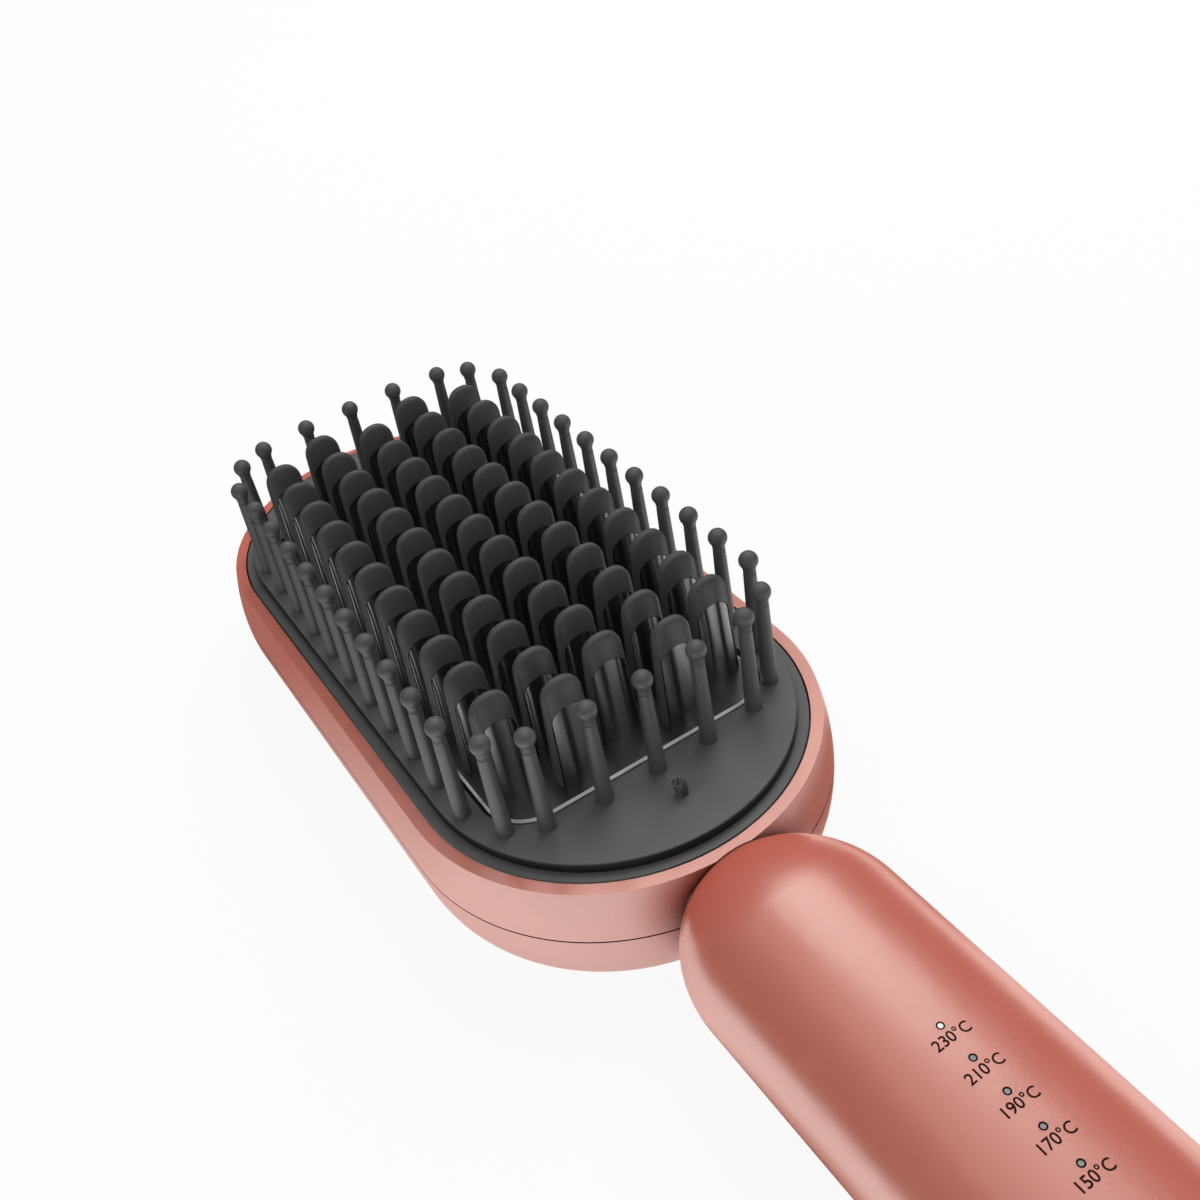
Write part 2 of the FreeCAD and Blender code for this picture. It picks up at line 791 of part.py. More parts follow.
def stack_levels():
    """Bottom of each layer under the plate, from the top sheet down."""
    layers = (sheet_thickness, electrode_thickness, ceramic_thickness, electrode_thickness, sheet_thickness)
    level = plate_bottom
    levels = []
    for thickness in layers:
        level -= thickness
        levels.append(level)
    return levels


def heater_insulation():
    levels = stack_levels()
    size = (stack_width, stack_length, sheet_thickness)
    return Part.makeCompound([block(size, 0, head_y, level) for level in (levels[0], levels[4])])


def heater_electrodes():
    levels = stack_levels()
    tab_bottom = levels[4] - tab_bottom_drop
    near_edge = head_y - stack_length / 2
    sheets = []
    for side, level in ((-1, levels[1]), (1, levels[3])):
        sheet = block((stack_width, stack_length, electrode_thickness), 0, head_y, level)
        arm = Part.makeBox(tab_reach + stack_width / 2, tab_length, electrode_thickness,
                           Vector(0, near_edge, level))
        tab = Part.makeBox(electrode_thickness, tab_length, level + electrode_thickness - tab_bottom,
                           Vector(tab_reach + stack_width / 2, near_edge, tab_bottom))
        arm = arm.fuse(tab)
        sheets.append(sheet.fuse(arm if side > 0 else mirrored(arm)).removeSplitter())
    return Part.makeCompound(sheets)


def ptc_heaters():
    length = (stack_length - (ceramic_count - 1) * ceramic_gap) / ceramic_count
    first = head_y - stack_length / 2 + length / 2
    size = (stack_width, length, ceramic_thickness)
    return Part.makeCompound([block(size, 0, first + i * (length + ceramic_gap), stack_levels()[2])
                              for i in range(ceramic_count)])


def heater_clamp():
    bar = block((clamp_width, clamp_length, clamp_thickness), 0, head_y, clamp_bottom)
    holes = [column(small_shaft_radius + blade_fit, clamp_bottom - 1, clamp_top + 1, 0, y)
             for y in clamp_screw_places()]
    return bar.cut(Part.makeCompound(holes))


def clamp_screws():
    length = blade_base - spigot_length - 2 * fit_gap - clamp_bottom - blade_fit
    one = screw(small_head_radius, small_head_height, small_shaft_radius, length)
    return Part.makeCompound([one.translated(Vector(0, y, clamp_bottom)) for y in clamp_screw_places()])


def heater_carrier():
    disc = stadium_body(polyline([
        (0, 0, carrier_bottom),
        (carrier_radius, 0, carrier_bottom),
        (carrier_radius, 0, carrier_top),
        (0, 0, carrier_top),
        (0, 0, carrier_bottom),
    ]))
    seat = rounded_plate(plate_width, plate_length, plate_corner, carrier_top, plate_bottom)
    posts = [column(post_radius, post_joint + fit_gap, carrier_bottom, x, y) for x, y in post_places()]
    opening = rounded_plate(plate_width - 2 * carrier_seat_width, plate_length - 2 * carrier_seat_width,
                            plate_corner - carrier_seat_width, carrier_bottom - 1, plate_bottom + 1)
    holes = [column(plate_shaft_radius + blade_fit, carrier_bottom, carrier_top, x, y)
             for x, y in plate_screw_places()]
    post_hole = casing_shaft_radius + screw_fit
    holes += [column(post_hole, post_joint, carrier_bottom, x, y) for x, y in post_places()]
    holes.append(column(emitter_bush_radius + fit_gap, carrier_bottom, carrier_top, 0, head_y - emitter_y))
    return disc.multiFuse([seat] + posts).cut(opening).cut(Part.makeCompound(holes)).removeSplitter()


def plate_screws():
    length = plateau_underside - carrier_bottom
    one = screw(plate_head_radius, plate_head_height, plate_shaft_radius, length)
    return Part.makeCompound([one.translated(Vector(x, y, carrier_bottom)) for x, y in plate_screw_places()])


def head_screws():
    length = carrier_bottom - recess_seat_height - blade_fit
    one = screw(casing_head_radius, casing_head_height, casing_shaft_radius, length)
    return Part.makeCompound([one.translated(Vector(x, y, recess_seat_height)) for x, y in post_places()])


def thermistor():
    height = plate_bottom - thermistor_radius - fit_gap
    return along_y(thermistor_radius, head_y - thermistor_length / 2, head_y + thermistor_length / 2,
                   sensor_x, height)


def thermal_fuse():
    height = plate_bottom - fuse_radius - fit_gap
    return along_y(fuse_radius, head_y - fuse_length / 2, head_y + fuse_length / 2, -sensor_x, height)


def ion_bush():
    y = head_y - emitter_y
    bottom = plateau_underside - emitter_bush_depth
    bush = column(emitter_bush_radius, bottom, plateau_underside - fit_gap, 0, y)
    spigot = column(emitter_hole_radius - fit_gap, bottom, plateau_height - plate_recess, 0, y)
    socket = column(emitter_radius + fit_gap, bottom + emitter_socket_floor, plateau_height, 0, y)
    return bush.fuse(spigot).cut(socket).removeSplitter()


def ion_emitter():
    y = head_y - emitter_y
    bottom = plateau_underside - emitter_bush_depth + emitter_socket_floor + fit_gap
    tuft = spun(polyline([
        (0, 0, bottom),
        (emitter_radius, 0, bottom),
        (emitter_radius, 0, plateau_height),
        (emitter_tip_radius, 0, plateau_height + emitter_rise),
        (0, 0, plateau_height + emitter_rise),
        (0, 0, bottom),
    ]))
    return tuft.translated(Vector(0, y, 0))


def ion_generator():
    size = (generator_width, generator_length, generator_top - generator_bottom)
    return block(size, 0, head_y - generator_y, generator_bottom)


def ion_lead():
    return column(ion_lead_radius, generator_top, plateau_underside - emitter_bush_depth, 0, head_y - emitter_y)


def neck_frame():
    wall_inside_y = wall_end_y + casing_wall
    flange_end_y = neck_flange_y + neck_flange_thickness
    handle_end_y = collar_y - neck_length_in_handle
    dome = capsule(handle_half_width, handle_half_height, nose_round, nose_y, tail_round, tail_y)
    collar = dome.common(between_y(collar_y + seam_gap / 2, wall_inside_y))
    tube = elliptic_bar(neck_half_width, neck_half_height, handle_end_y, flange_end_y)
    bore = elliptic_bar(neck_half_width - neck_wall, neck_half_height - neck_wall,
                        handle_end_y - 1, flange_end_y + 1)
    flange = Part.makeBox(2 * neck_flange_half_width, neck_flange_thickness,
                          neck_flange_top - neck_flange_bottom,
                          Vector(-neck_flange_half_width, neck_flange_y, neck_flange_bottom))
    under_carrier = above(neck_flange_top).common(between_y(wall_inside_y, flange_end_y + 1))
    tongue = Part.makeBox(2 * tongue_half_width, tongue_length + neck_wall, tongue_thickness,
                          Vector(-tongue_half_width, handle_end_y - tongue_length, tongue_bottom))
    hole = column(casing_shaft_radius + blade_fit, 0, axis_height, 0, front_screw_y)
    frame = tube.multiFuse([collar, flange]).cut(bore).cut(under_carrier)
    return frame.fuse(tongue).cut(hole).removeSplitter()


def handle_bar():
    return capsule(handle_half_width, handle_half_height, nose_round, collar_y - seam_gap / 2,
                   tail_round, tail_y)


def handle_cavity(wall):
    """The hollow inside the shells, up to the solid block at the tail."""
    hollow = capsule(handle_half_width - wall, handle_half_height - wall, nose_round - wall,
                     nose_y - wall, tail_round, tail_y)
    return hollow.common(between_y(cavity_end_y, reach))


def neck_slot():
    return elliptic_bar(neck_half_width + fit_gap, neck_half_height + fit_gap, nose_centre_y, reach)


def swivel_room():
    return along_y(bush_radius + fit_gap, tail_y - 1, cavity_end_y + 1)


def handle_top_shell():
    shell = handle_bar().common(above(split_height + seam_gap / 2)).cut(handle_cavity(handle_wall - lip_fit))
    boss_radius = casing_shaft_radius + neck_wall
    control_screws = board_screw_places(control_board_start, control_board_end, control_screw_x)
    bosses = [column(boss_radius, tongue_top + fit_gap, handle_height, 0, front_screw_y)]
    bosses += [column(boss_radius, split_height + fit_gap, handle_height, x, y)
               for x, y in tail_screw_places()]
    bosses += [column(board_post_radius, control_board_top + fit_gap, handle_height, x, y)
               for x, y in control_screws]
    shell = shell.fuse(Part.makeCompound(bosses).common(handle_cavity(handle_wall / 2)))
    screw_top = axis_height + neck_half_height
    holes = [column(lens_hole_radius, control_board_top, handle_height + 1, 0, y) for y in light_places()]
    holes += [column(button_radius + button_fit, control_board_top + switch_height, handle_height + 1, 0, y)
              for y in button_places.values()]
    holes.append(column(casing_shaft_radius + screw_fit, 0, screw_top, 0, front_screw_y))
    holes += [column(casing_shaft_radius + screw_fit, 0, screw_top, x, y) for x, y in tail_screw_places()]
    holes += [column(small_shaft_radius + screw_fit, 0, control_board_top + 2 * board_thickness, x, y)
              for x, y in control_screws]
    return shell.cut(Part.makeCompound(holes)).cut(neck_slot()).cut(swivel_room()).removeSplitter()


def handle_bottom_shell():
    top = split_height - seam_gap / 2
    shell = handle_bar().common(below(top)).cut(handle_cavity(handle_wall))
    band = above(top - lip_root).common(below(top + lip_height))
    lip = elliptic_bar(inner_half_width, inner_half_height, cavity_end_y + lip_thickness, nose_centre_y)
    lip_inside = elliptic_bar(inner_half_width - lip_thickness, inner_half_height - lip_thickness,
                              cavity_end_y, nose_y)
    lip = lip.common(band).cut(lip_inside)
    power_screws = board_screw_places(power_board_start, power_board_end, power_screw_x)
    front_top = tongue_bottom - fit_gap
    bosses = [column(casing_boss_radius, 0, front_top, 0, front_screw_y)]
    bosses += [column(casing_boss_radius, 0, top, x, y) for x, y in tail_screw_places()]
    bosses += [column(board_post_radius, 0, power_board_height - fit_gap, x, y) for x, y in power_screws]
    shell = shell.fuse(Part.makeCompound(bosses).common(handle_cavity(handle_wall / 2))).fuse(lip)
    holes = [column(casing_recess_radius, -1, front_seat_height, 0, front_screw_y)]
    holes.append(column(casing_shaft_radius + blade_fit, 0, split_height, 0, front_screw_y))
    for x, y in tail_screw_places():
        holes.append(column(casing_recess_radius, -1, recess_seat_height, x, y))
        holes.append(column(casing_shaft_radius + blade_fit, 0, split_height + 1, x, y))
    post_hole = small_shaft_radius + screw_fit
    hole_bottom = power_board_height - board_thickness
    holes += [column(post_hole, hole_bottom, split_height, x, y) for x, y in power_screws]
    return shell.cut(Part.makeCompound(holes)).cut(neck_slot()).cut(swivel_room()).removeSplitter()


def handle_screws():
    top = axis_height + neck_half_height - blade_fit
    front = screw(casing_head_radius, casing_head_height, casing_shaft_radius, top - front_seat_height)
    rear = screw(casing_head_radius, casing_head_height, casing_shaft_radius, top - recess_seat_height)
    screws = [front.translated(Vector(0, front_screw_y, front_seat_height))]
    screws += [rear.translated(Vector(x, y, recess_seat_height)) for x, y in tail_screw_places()]
    return Part.makeCompound(screws)


def indicator_lenses():
    shell_under = handle_height - handle_wall
    rods = []
    for y in light_places():
        rod = column(lens_radius, control_board_top + light_size[2] + fit_gap, handle_height - fit_gap, 0, y)
        collar_top = shell_under - 2 * fit_gap
        collar = column(lens_collar_radius, collar_top - lens_collar_height, collar_top, 0, y)
        rods.append(rod.fuse(collar).removeSplitter())
    return Part.makeCompound(rods)


def indicator_leds():
    return Part.makeCompound([block(light_size, 0, y, control_board_top) for y in light_places()])


def board(width, start, end, bottom, screw_x):
    length = end - start
    middle = nose_y - (start + end) / 2
    slab = block((width, length, board_thickness), 0, middle, bottom)
    holes = [column(small_shaft_radius + blade_fit, bottom - 1, bottom + board_thickness + 1, x, y)
             for x, y in board_screw_places(start, end, screw_x)]
    return slab.cut(Part.makeCompound(holes))


def control_board():
    return board(control_board_width, control_board_start, control_board_end,
                 control_board_height, control_screw_x)


def power_board():
    return board(power_board_width, power_board_start, power_board_end, power_board_height, power_screw_x)


def board_screws():
    up = screw(small_head_radius, small_head_height, small_shaft_radius, 2 * board_thickness)
    down = upside_down(up)
    screws = [up.translated(Vector(x, y, control_board_height - fit_gap))
              for x, y in board_screw_places(control_board_start, control_board_end, control_screw_x)]
    screws += [down.translated(Vector(x, y, power_board_top + fit_gap))
               for x, y in board_screw_places(power_board_start, power_board_end, power_screw_x)]
    return Part.makeCompound(screws)


def button_switches():
    switches = []
    for y in button_places.values():
        body = block((switch_side, switch_side, switch_height), 0, y, control_board_top)
        top = control_board_top + switch_height
        switches.append(body.cut(column(switch_well_radius, top - switch_well_depth, top + 1, 0, y)))
    return Part.makeCompound(switches)


def button(y):
    """A crowned cap with a flange under the shell and a stem down into its switch."""
    top = handle_height + button_rise
    reach_x = (button_flange_radius + button_fit) / inner_half_width
    shell_under = axis_height + inner_half_height * math.sqrt(1 - reach_x * reach_x)
    flange_top = shell_under - button_crown
    flange_bottom = flange_top - button_flange_thickness
    well_bottom = control_board_top + switch_height - switch_well_depth
    stem_bottom = well_bottom + button_travel + button_fit
    shoulder = top - button_crown
    crown_radius = (button_radius ** 2 + button_crown ** 2) / (2 * button_crown)
    half_way = top - crown_radius + math.sqrt(crown_radius ** 2 - (button_radius / 2) ** 2)
    edges = [arc_through((button_radius, 0, shoulder), (button_radius / 2, 0, half_way), (0, 0, top))]
    edges += polyline([
        (0, 0, top),
        (0, 0, stem_bottom),
        (button_stem_radius, 0, stem_bottom),
        (button_stem_radius, 0, flange_bottom),
        (button_flange_radius, 0, flange_bottom),
        (button_flange_radius, 0, flange_top),
        (button_radius, 0, flange_top),
        (button_radius, 0, shoulder),
    ])
    return spun(edges).translated(Vector(0, y, 0))


def filter_capacitor():
    return block(capacitor_size, 0, nose_y - capacitor_from_nose, power_board_top)


def triac():
    return block(triac_size, 0, nose_y - triac_from_nose, power_board_top)


def cord_terminal_block():
    return block(terminal_size, 0, nose_y - terminal_from_nose, power_board_top)


def heater_leads():
    tab_x = stack_width / 2 + tab_reach + electrode_thickness / 2
    start_y = head_y - stack_length / 2 - fit_gap
    board_y = nose_y - power_board_start - 2 * lead_run
    right = lead([
        (tab_x, start_y, heater_lead_height),
        (tab_x, start_y - 4 * lead_run, heater_lead_height),
        (heater_lead_x, head_y - emitter_y, heater_lead_height),
        (heater_lead_x, board_y, heater_lead_height),
        (heater_lead_x, board_y, power_board_top + fit_gap),
    ], heater_lead_radius, heater_lead_bend)
    return Part.makeCompound([right, mirrored(right)])


def sensor_leads():
    board_y = nose_y - power_board_start - 3 * lead_run
    sensor_height = plate_bottom - thermistor_radius - fit_gap
    level_y = head_y - plate_length / 2 + 4 * lead_run
    leads = []
    for side, length in ((1, thermistor_length), (-1, fuse_length)):
        wire = lead([
            (sensor_x, head_y - length / 2 - fit_gap, sensor_height),
            (sensor_x, level_y + 2 * lead_run, sensor_height),
            (sensor_x, level_y, sensor_lead_height),
            (sensor_x, level_y - 3 * lead_run, sensor_lead_height),
            (sensor_lead_x, head_y - emitter_y - lead_run, sensor_lead_height),
            (sensor_lead_x, board_y, sensor_lead_height),
            (sensor_lead_x, board_y, control_board_height - fit_gap),
        ], sensor_lead_radius, sensor_lead_bend)
        leads.append(wire if side > 0 else mirrored(wire))
    return Part.makeCompound(leads)


def swivel_bush():
    bore = swivel_shaft_radius + swivel_running_fit
    flange_start = cavity_end_y + fit_gap
    body = along_y(bush_radius, tail_y, flange_start)
    flange = along_y(bush_flange_radius, flange_start, flange_start + bush_flange_thickness)
    hole = along_y(bore, tail_y - 1, flange_start + bush_flange_thickness + 1)
    return body.fuse(flange).cut(hole).removeSplitter()


def clip_start():
    return cavity_end_y + fit_gap + bush_flange_thickness + clip_gap


def swivel_gland():
    inner_end = clip_start() + clip_thickness + 1
    face = tail_y - swivel_gap
    nose_start = face - swivel_collar_thickness
    tip = tail_y - swivel_reach
    edges = polyline([
        (inlet_bore_radius, 0, inner_end),
        (swivel_end_radius, 0, inner_end),
        (swivel_end_radius, 0, clip_start()),
        (swivel_shaft_radius, 0, clip_start()),
        (swivel_shaft_radius, 0, face),
        (swivel_collar_radius, 0, face),
        (swivel_collar_radius, 0, nose_start),
        (swivel_nose_radius, 0, nose_start),
        (swivel_tip_radius, 0, tip),
        (inlet_bore_radius, 0, tip),
        (inlet_bore_radius, 0, inner_end),
    ])
    gland = spun(edges)
    gland.rotate(Vector(0, 0, 0), Vector(1, 0, 0), -90)
    return gland.translated(Vector(0, 0, axis_height))


def swivel_clip():
    start = clip_start() + fit_gap
    ring = along_y(clip_radius, start, start + clip_thickness)
    return ring.cut(along_y(swivel_end_radius + fit_gap, start - 1, start + clip_thickness + 1))


pieces = {
    "head_top_casing": head_top_casing,
    "head_back_casing": head_back_casing,
    "bristle_plate": bristle_plate,
    "edge_pins": edge_pins,
    "pin_tips": pin_tips,
    "heater_plate": heater_plate,
    "heating_blades": heating_blades,
    "blade_caps": blade_caps,
    "plate_gasket": plate_gasket,
    "heater_insulation": heater_insulation,
    "heater_electrodes": heater_electrodes,
    "ptc_heaters": ptc_heaters,
    "heater_clamp": heater_clamp,
    "clamp_screws": clamp_screws,
    "heater_carrier": heater_carrier,
    "plate_screws": plate_screws,
    "head_screws": head_screws,
    "thermistor": thermistor,
    "thermal_fuse": thermal_fuse,
    "ion_bush": ion_bush,
    "ion_emitter": ion_emitter,
    "ion_generator": ion_generator,
    "ion_lead": ion_lead,
    "neck_frame": neck_frame,
    "handle_top_shell": handle_top_shell,
    "handle_bottom_shell": handle_bottom_shell,
    "handle_screws": handle_screws,
    "indicator_lenses": indicator_lenses,
    "indicator_leds": indicator_leds,
    "control_board": control_board,
    "power_board": power_board,
    "board_screws": board_screws,
    "button_switches": button_switches,
    "filter_capacitor": filter_capacitor,
    "triac": triac,
    "cord_terminal_block": cord_terminal_block,
    "heater_leads": heater_leads,
    "sensor_leads": sensor_leads,
    "swivel_bush": swivel_bush,
    "swivel_gland": swivel_gland,
    "swivel_clip": swivel_clip,
}

os.makedirs("parts", exist_ok=True)
for name, make in pieces.items():
    shape = make()
    shape.exportStep("parts/" + name + ".step")
    print(name, len(shape.Solids), "solids", round(shape.Volume, 1), "mm3", shape.isValid())
for name, y in button_places.items():
    shape = button(y)
    shape.exportStep("parts/" + name + ".step")
    print(name, len(shape.Solids), "solids", round(shape.Volume, 1), "mm3", shape.isValid())
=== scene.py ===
# Heated straightening brush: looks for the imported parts. +Y runs towards the tip of the head.
# Pieces are given in millimetres, the studio in metres.
import math
import bmesh
import bpy
import numpy as np
from mathutils import Matrix, Vector


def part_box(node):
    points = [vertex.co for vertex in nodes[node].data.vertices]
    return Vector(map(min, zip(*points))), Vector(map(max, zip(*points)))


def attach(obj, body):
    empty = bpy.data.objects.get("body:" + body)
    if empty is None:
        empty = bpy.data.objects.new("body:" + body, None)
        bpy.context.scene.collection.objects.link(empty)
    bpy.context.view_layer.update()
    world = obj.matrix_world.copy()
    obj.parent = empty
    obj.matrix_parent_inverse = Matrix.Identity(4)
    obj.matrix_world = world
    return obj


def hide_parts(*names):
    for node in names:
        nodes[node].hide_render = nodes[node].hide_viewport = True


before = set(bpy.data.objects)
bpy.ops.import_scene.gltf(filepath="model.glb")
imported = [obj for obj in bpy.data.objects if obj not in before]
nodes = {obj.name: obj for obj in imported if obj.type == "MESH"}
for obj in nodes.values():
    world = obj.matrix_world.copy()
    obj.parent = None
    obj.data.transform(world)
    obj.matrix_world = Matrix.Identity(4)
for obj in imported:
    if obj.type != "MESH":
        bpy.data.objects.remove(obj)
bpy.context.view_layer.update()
mm = 0.001
scene = bpy.context.scene
scene.view_settings.view_transform = "Standard"
print("frame loaded:", len(nodes), "CAD nodes")


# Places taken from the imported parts
def middleOf(node):
    low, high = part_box(node)
    return (Vector(low) + Vector(high)) / 2


headY = middleOf("heater_plate").y
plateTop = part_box("heater_plate")[1][2]
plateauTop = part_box("bristle_plate")[1][2]
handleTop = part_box("handle_top_shell")[1][2]
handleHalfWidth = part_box("handle_top_shell")[1][0]
handleAxis = handleTop / 2


# Camera at the photograph's place, for a square frame
camera = {
    "place": (-60.40, -89.495, 158.51),
    "right": (0.83515876, -0.52891517, -0.15085953),
    "down": (-0.43542396, -0.4682352, -0.76887045),
    "forward": (0.3360295, 0.70781674, -0.62135307),
    "lens": 40.877,
    "sensor": 36,
    "clipStart": 0.005,
}


def addCamera(spec):
    data = bpy.data.cameras.new("camera")
    data.lens = spec["lens"]
    data.sensor_width = spec["sensor"]
    data.clip_start = spec["clipStart"]
    axes = spec["right"], [-v for v in spec["down"]], [-v for v in spec["forward"]]
    turn = Matrix(axes).transposed()
    obj = bpy.data.objects.new("camera", data)
    obj.matrix_world = Matrix.Translation(Vector(spec["place"]) * mm) @ turn.to_4x4()
    scene.collection.objects.link(obj)
    scene.camera = obj


addCamera(camera)
print("camera set")


# Node helpers
def newMaterial(name):
    mat = bpy.data.materials.new(name)
    mat.use_nodes = True
    tree = mat.node_tree
    return mat, tree, tree.nodes["Principled BSDF"]


def addNode(tree, kind, **inputs):
    node = tree.nodes.new(kind)
    for key, value in inputs.items():
        if key in node.inputs:
            node.inputs[key].default_value = value
        else:
            setattr(node, key, value)
    return node


def plug(tree, value, socket):
    # an output is linked, anything else is set as a constant
    if hasattr(value, "is_linked"):
        tree.links.new(value, socket)
    else:
        socket.default_value = value


def calc(tree, operation, *values):
    node = addNode(tree, "ShaderNodeMath", operation=operation)
    for socket, value in zip(node.inputs, values):
        plug(tree, value, socket)
    return node.outputs[0]


def axisOf(tree, vector, axis):
    split = tree.nodes.new("ShaderNodeSeparateXYZ")
    tree.links.new(vector, split.inputs["Vector"])
    return split.outputs[axis]


def slopeOf(tree):
    # upward share of the surface's direction: 1 on a flat top, 0 on a wall
    return axisOf(tree, tree.nodes.new("ShaderNodeNewGeometry").outputs["Normal"], "Z")


def objectCoords(tree, stretch=(1, 1, 1)):
    coords = tree.nodes.new("ShaderNodeTexCoord")
    if stretch == (1, 1, 1):
        return coords.outputs["Object"]
    mapping = addNode(tree, "ShaderNodeMapping", Scale=stretch)
    tree.links.new(coords.outputs["Object"], mapping.inputs["Vector"])
    return mapping.outputs["Vector"]


def noiseOn(tree, coords, scale, detail=3.0, roughness=0.55):
    noise = addNode(tree, "ShaderNodeTexNoise", Scale=scale, Detail=detail, Roughness=roughness)
    tree.links.new(coords, noise.inputs["Vector"])
    return noise.outputs["Fac"]


def remap(tree, value, low, high, fromLow=0.3, fromHigh=0.7):
    node = tree.nodes.new("ShaderNodeMapRange")
    limits = {"From Min": fromLow, "From Max": fromHigh, "To Min": low, "To Max": high}
    for key, number in limits.items():
        node.inputs[key].default_value = number
    tree.links.new(value, node.inputs["Value"])
    return node.outputs["Result"]


def mixColour(tree, factor, first, second):
    node = addNode(tree, "ShaderNodeMix", data_type="RGBA")
    tree.links.new(factor, node.inputs["Factor"])
    for socket, value in ((node.inputs[6], first), (node.inputs[7], second)):
        plug(tree, (*value, 1) if isinstance(value, tuple) else value, socket)
    return node.outputs[2]


def setSockets(shader, values):
    for key, value in values.items():
        shader.inputs[key].default_value = value


def paintFoldShade(tree, colour, reach, closed, opened, deep=(0, 0, 0), rays=4):
    # painted shade: colour falls to a deep tone where little of the surroundings is open within a short reach
    around = addNode(tree, "ShaderNodeAmbientOcclusion", Distance=reach * mm, samples=rays)
    return mixColour(tree, remap(tree, around.outputs["AO"], 0, 1, closed, opened), deep, colour)


def unevenGloss(tree, shader, coords, scale, roughness, detail=4):
    uneven = noiseOn(tree, coords, scale, detail)
    tree.links.new(remap(tree, uneven, *roughness), shader.inputs["Roughness"])


def bumpFrom(tree, shader, height, strength, depth):
    bump = addNode(tree, "ShaderNodeBump", Strength=strength, Distance=depth * mm)
    tree.links.new(height, bump.inputs["Height"])
    tree.links.new(bump.outputs["Normal"], shader.inputs["Normal"])


def fineGrain(tree, shader, coords, scale, strength, depth, detail=2, roughness=0.6):
    bumpFrom(tree, shader, noiseOn(tree, coords, scale, detail, roughness), strength, depth)


# One recipe for most finishes: mottled colour, uneven gloss and a fine grain,
# and where given painted shade on steep walls and in folds
def makeFinish(name, colour, mottle, gloss, grain, sockets=None, stretch=(1, 1, 1), wall=None, foldShade=None):
    mat, tree, shader = newMaterial(name)
    coords = objectCoords(tree, stretch)
    patch = remap(tree, noiseOn(tree, coords, mottle["scale"]), 0, 1)
    tone = mixColour(tree, patch, colour, mottle["colour"])
    # painted shade: steep walls turn near black, and folds darker
    if wall:
        tone = mixColour(tree, remap(tree, slopeOf(tree), 0, 1, *wall["slope"]), wall["colour"], tone)
    if foldShade:
        tone = paintFoldShade(tree, tone, **foldShade)
    tree.links.new(tone, shader.inputs["Base Color"])
    unevenGloss(tree, shader, coords, **gloss)
    fineGrain(tree, shader, coords, **grain)
    setSockets(shader, sockets or {})
    return mat


# Satin coral paint over plastic: red ground, fine metal flake, soft grain, painted shade in folds (darker and
# duller) and a painted shade line at the shells' seam
coralPaint = {
    "ground": (0.80, 0.165, 0.108),
    "flake": (0.84, 0.185, 0.125),
    "flakeScale": 5200,
    "flakeShare": 0.8,
    "gloss": dict(scale=160, roughness=(0.28, 0.315)),
    "grain": dict(scale=3800, strength=0.2, depth=0.002),
    "ior": 4.4,
    "tint": (1.0, 0.965, 0.90),
    "foldShade": dict(reach=22, closed=0.25, opened=0.80, deep=(0.10, 0.012, 0.008)),
    "foldReflectionShade": dict(reach=22, closed=0.40, opened=0.86, deep=(0.08, 0.07, 0.06)),
    "seamGap": 0.16,
    "seamShadeEdge": (0.11, 0.16),
    "seamShadeTone": (0.010, 0.004, 0.003),
}


def makeCoral(name, spec, seamHeight=None):
    mat, tree, shader = newMaterial(name)
    coords = objectCoords(tree)
    cells = addNode(tree, "ShaderNodeTexVoronoi", Scale=spec["flakeScale"])
    tree.links.new(coords, cells.inputs["Vector"])
    split = addNode(tree, "ShaderNodeSeparateColor")
    tree.links.new(cells.outputs["Color"], split.inputs["Color"])
    share = remap(tree, split.outputs["Red"], 0, spec["flakeShare"], 0, 1)
    flake = mixColour(tree, share, spec["ground"], spec["flake"])
    # painted shade: colour darker and reflection duller in folds
    tone = paintFoldShade(tree, flake, **spec["foldShade"])
    shine = paintFoldShade(tree, spec["tint"], **spec["foldReflectionShade"])
    if seamHeight:
        # painted shade in the seam: within a hair of their parting height both shells turn dark, in colour and in
        # reflection
        apart = calc(tree, "ABSOLUTE", calc(tree, "SUBTRACT", axisOf(tree, coords, "Z"), seamHeight))
        clearOfSeamShade = remap(tree, apart, 0, 1, *(v * mm for v in spec["seamShadeEdge"]))
        tone = mixColour(tree, clearOfSeamShade, spec["seamShadeTone"], tone)
        shine = mixColour(tree, clearOfSeamShade, spec["seamShadeTone"], shine)
    tree.links.new(tone, shader.inputs["Base Color"])
    tree.links.new(shine, shader.inputs["Specular Tint"])
    unevenGloss(tree, shader, coords, **spec["gloss"])
    fineGrain(tree, shader, coords, **spec["grain"])
    # the plain tint stays on the socket for a program that skips the link
    setSockets(shader, {"IOR": spec["ior"], "Specular Tint": (*spec["tint"], 1)})
    return mat


# Dark mirror coat on metal, drawn upwards
bladeCoat = {
    "coat": (0.37, 0.37, 0.375),
    "streak": (0.29, 0.29, 0.295),
    "roughness": (0.20, 0.26),
    "stretch": (1, 1, 0.08),
    "brushed": 0.95,
}

# The plate's coat is duller and drawn lengthwise, with a painted highlight, a bright line along the top of the
# bevel, and painted shade below it
plateCoat = {
    "coat": (0.28, 0.28, 0.285),
    "streak": (0.23, 0.23, 0.235),
    "roughness": (0.30, 0.38),
    "stretch": (1, 0.15, 1),
    "bevelHighlight": (0.92, 0.92, 0.92),
    "highlightMetallic": 0.05,
    "shade": (0.01, 0.01, 0.01),
    "bevelSlope": (0.55, 0.62, 0.80, 0.88),
    "bevelHeight": 0.34,
    "lineBlur": 0.02,
}

# Streaks, uneven gloss and scratches that both coats share
drawn = {"streakScale": 900, "glossScale": 420, "scratch": 0.12, "scratchDepth": 0.004}


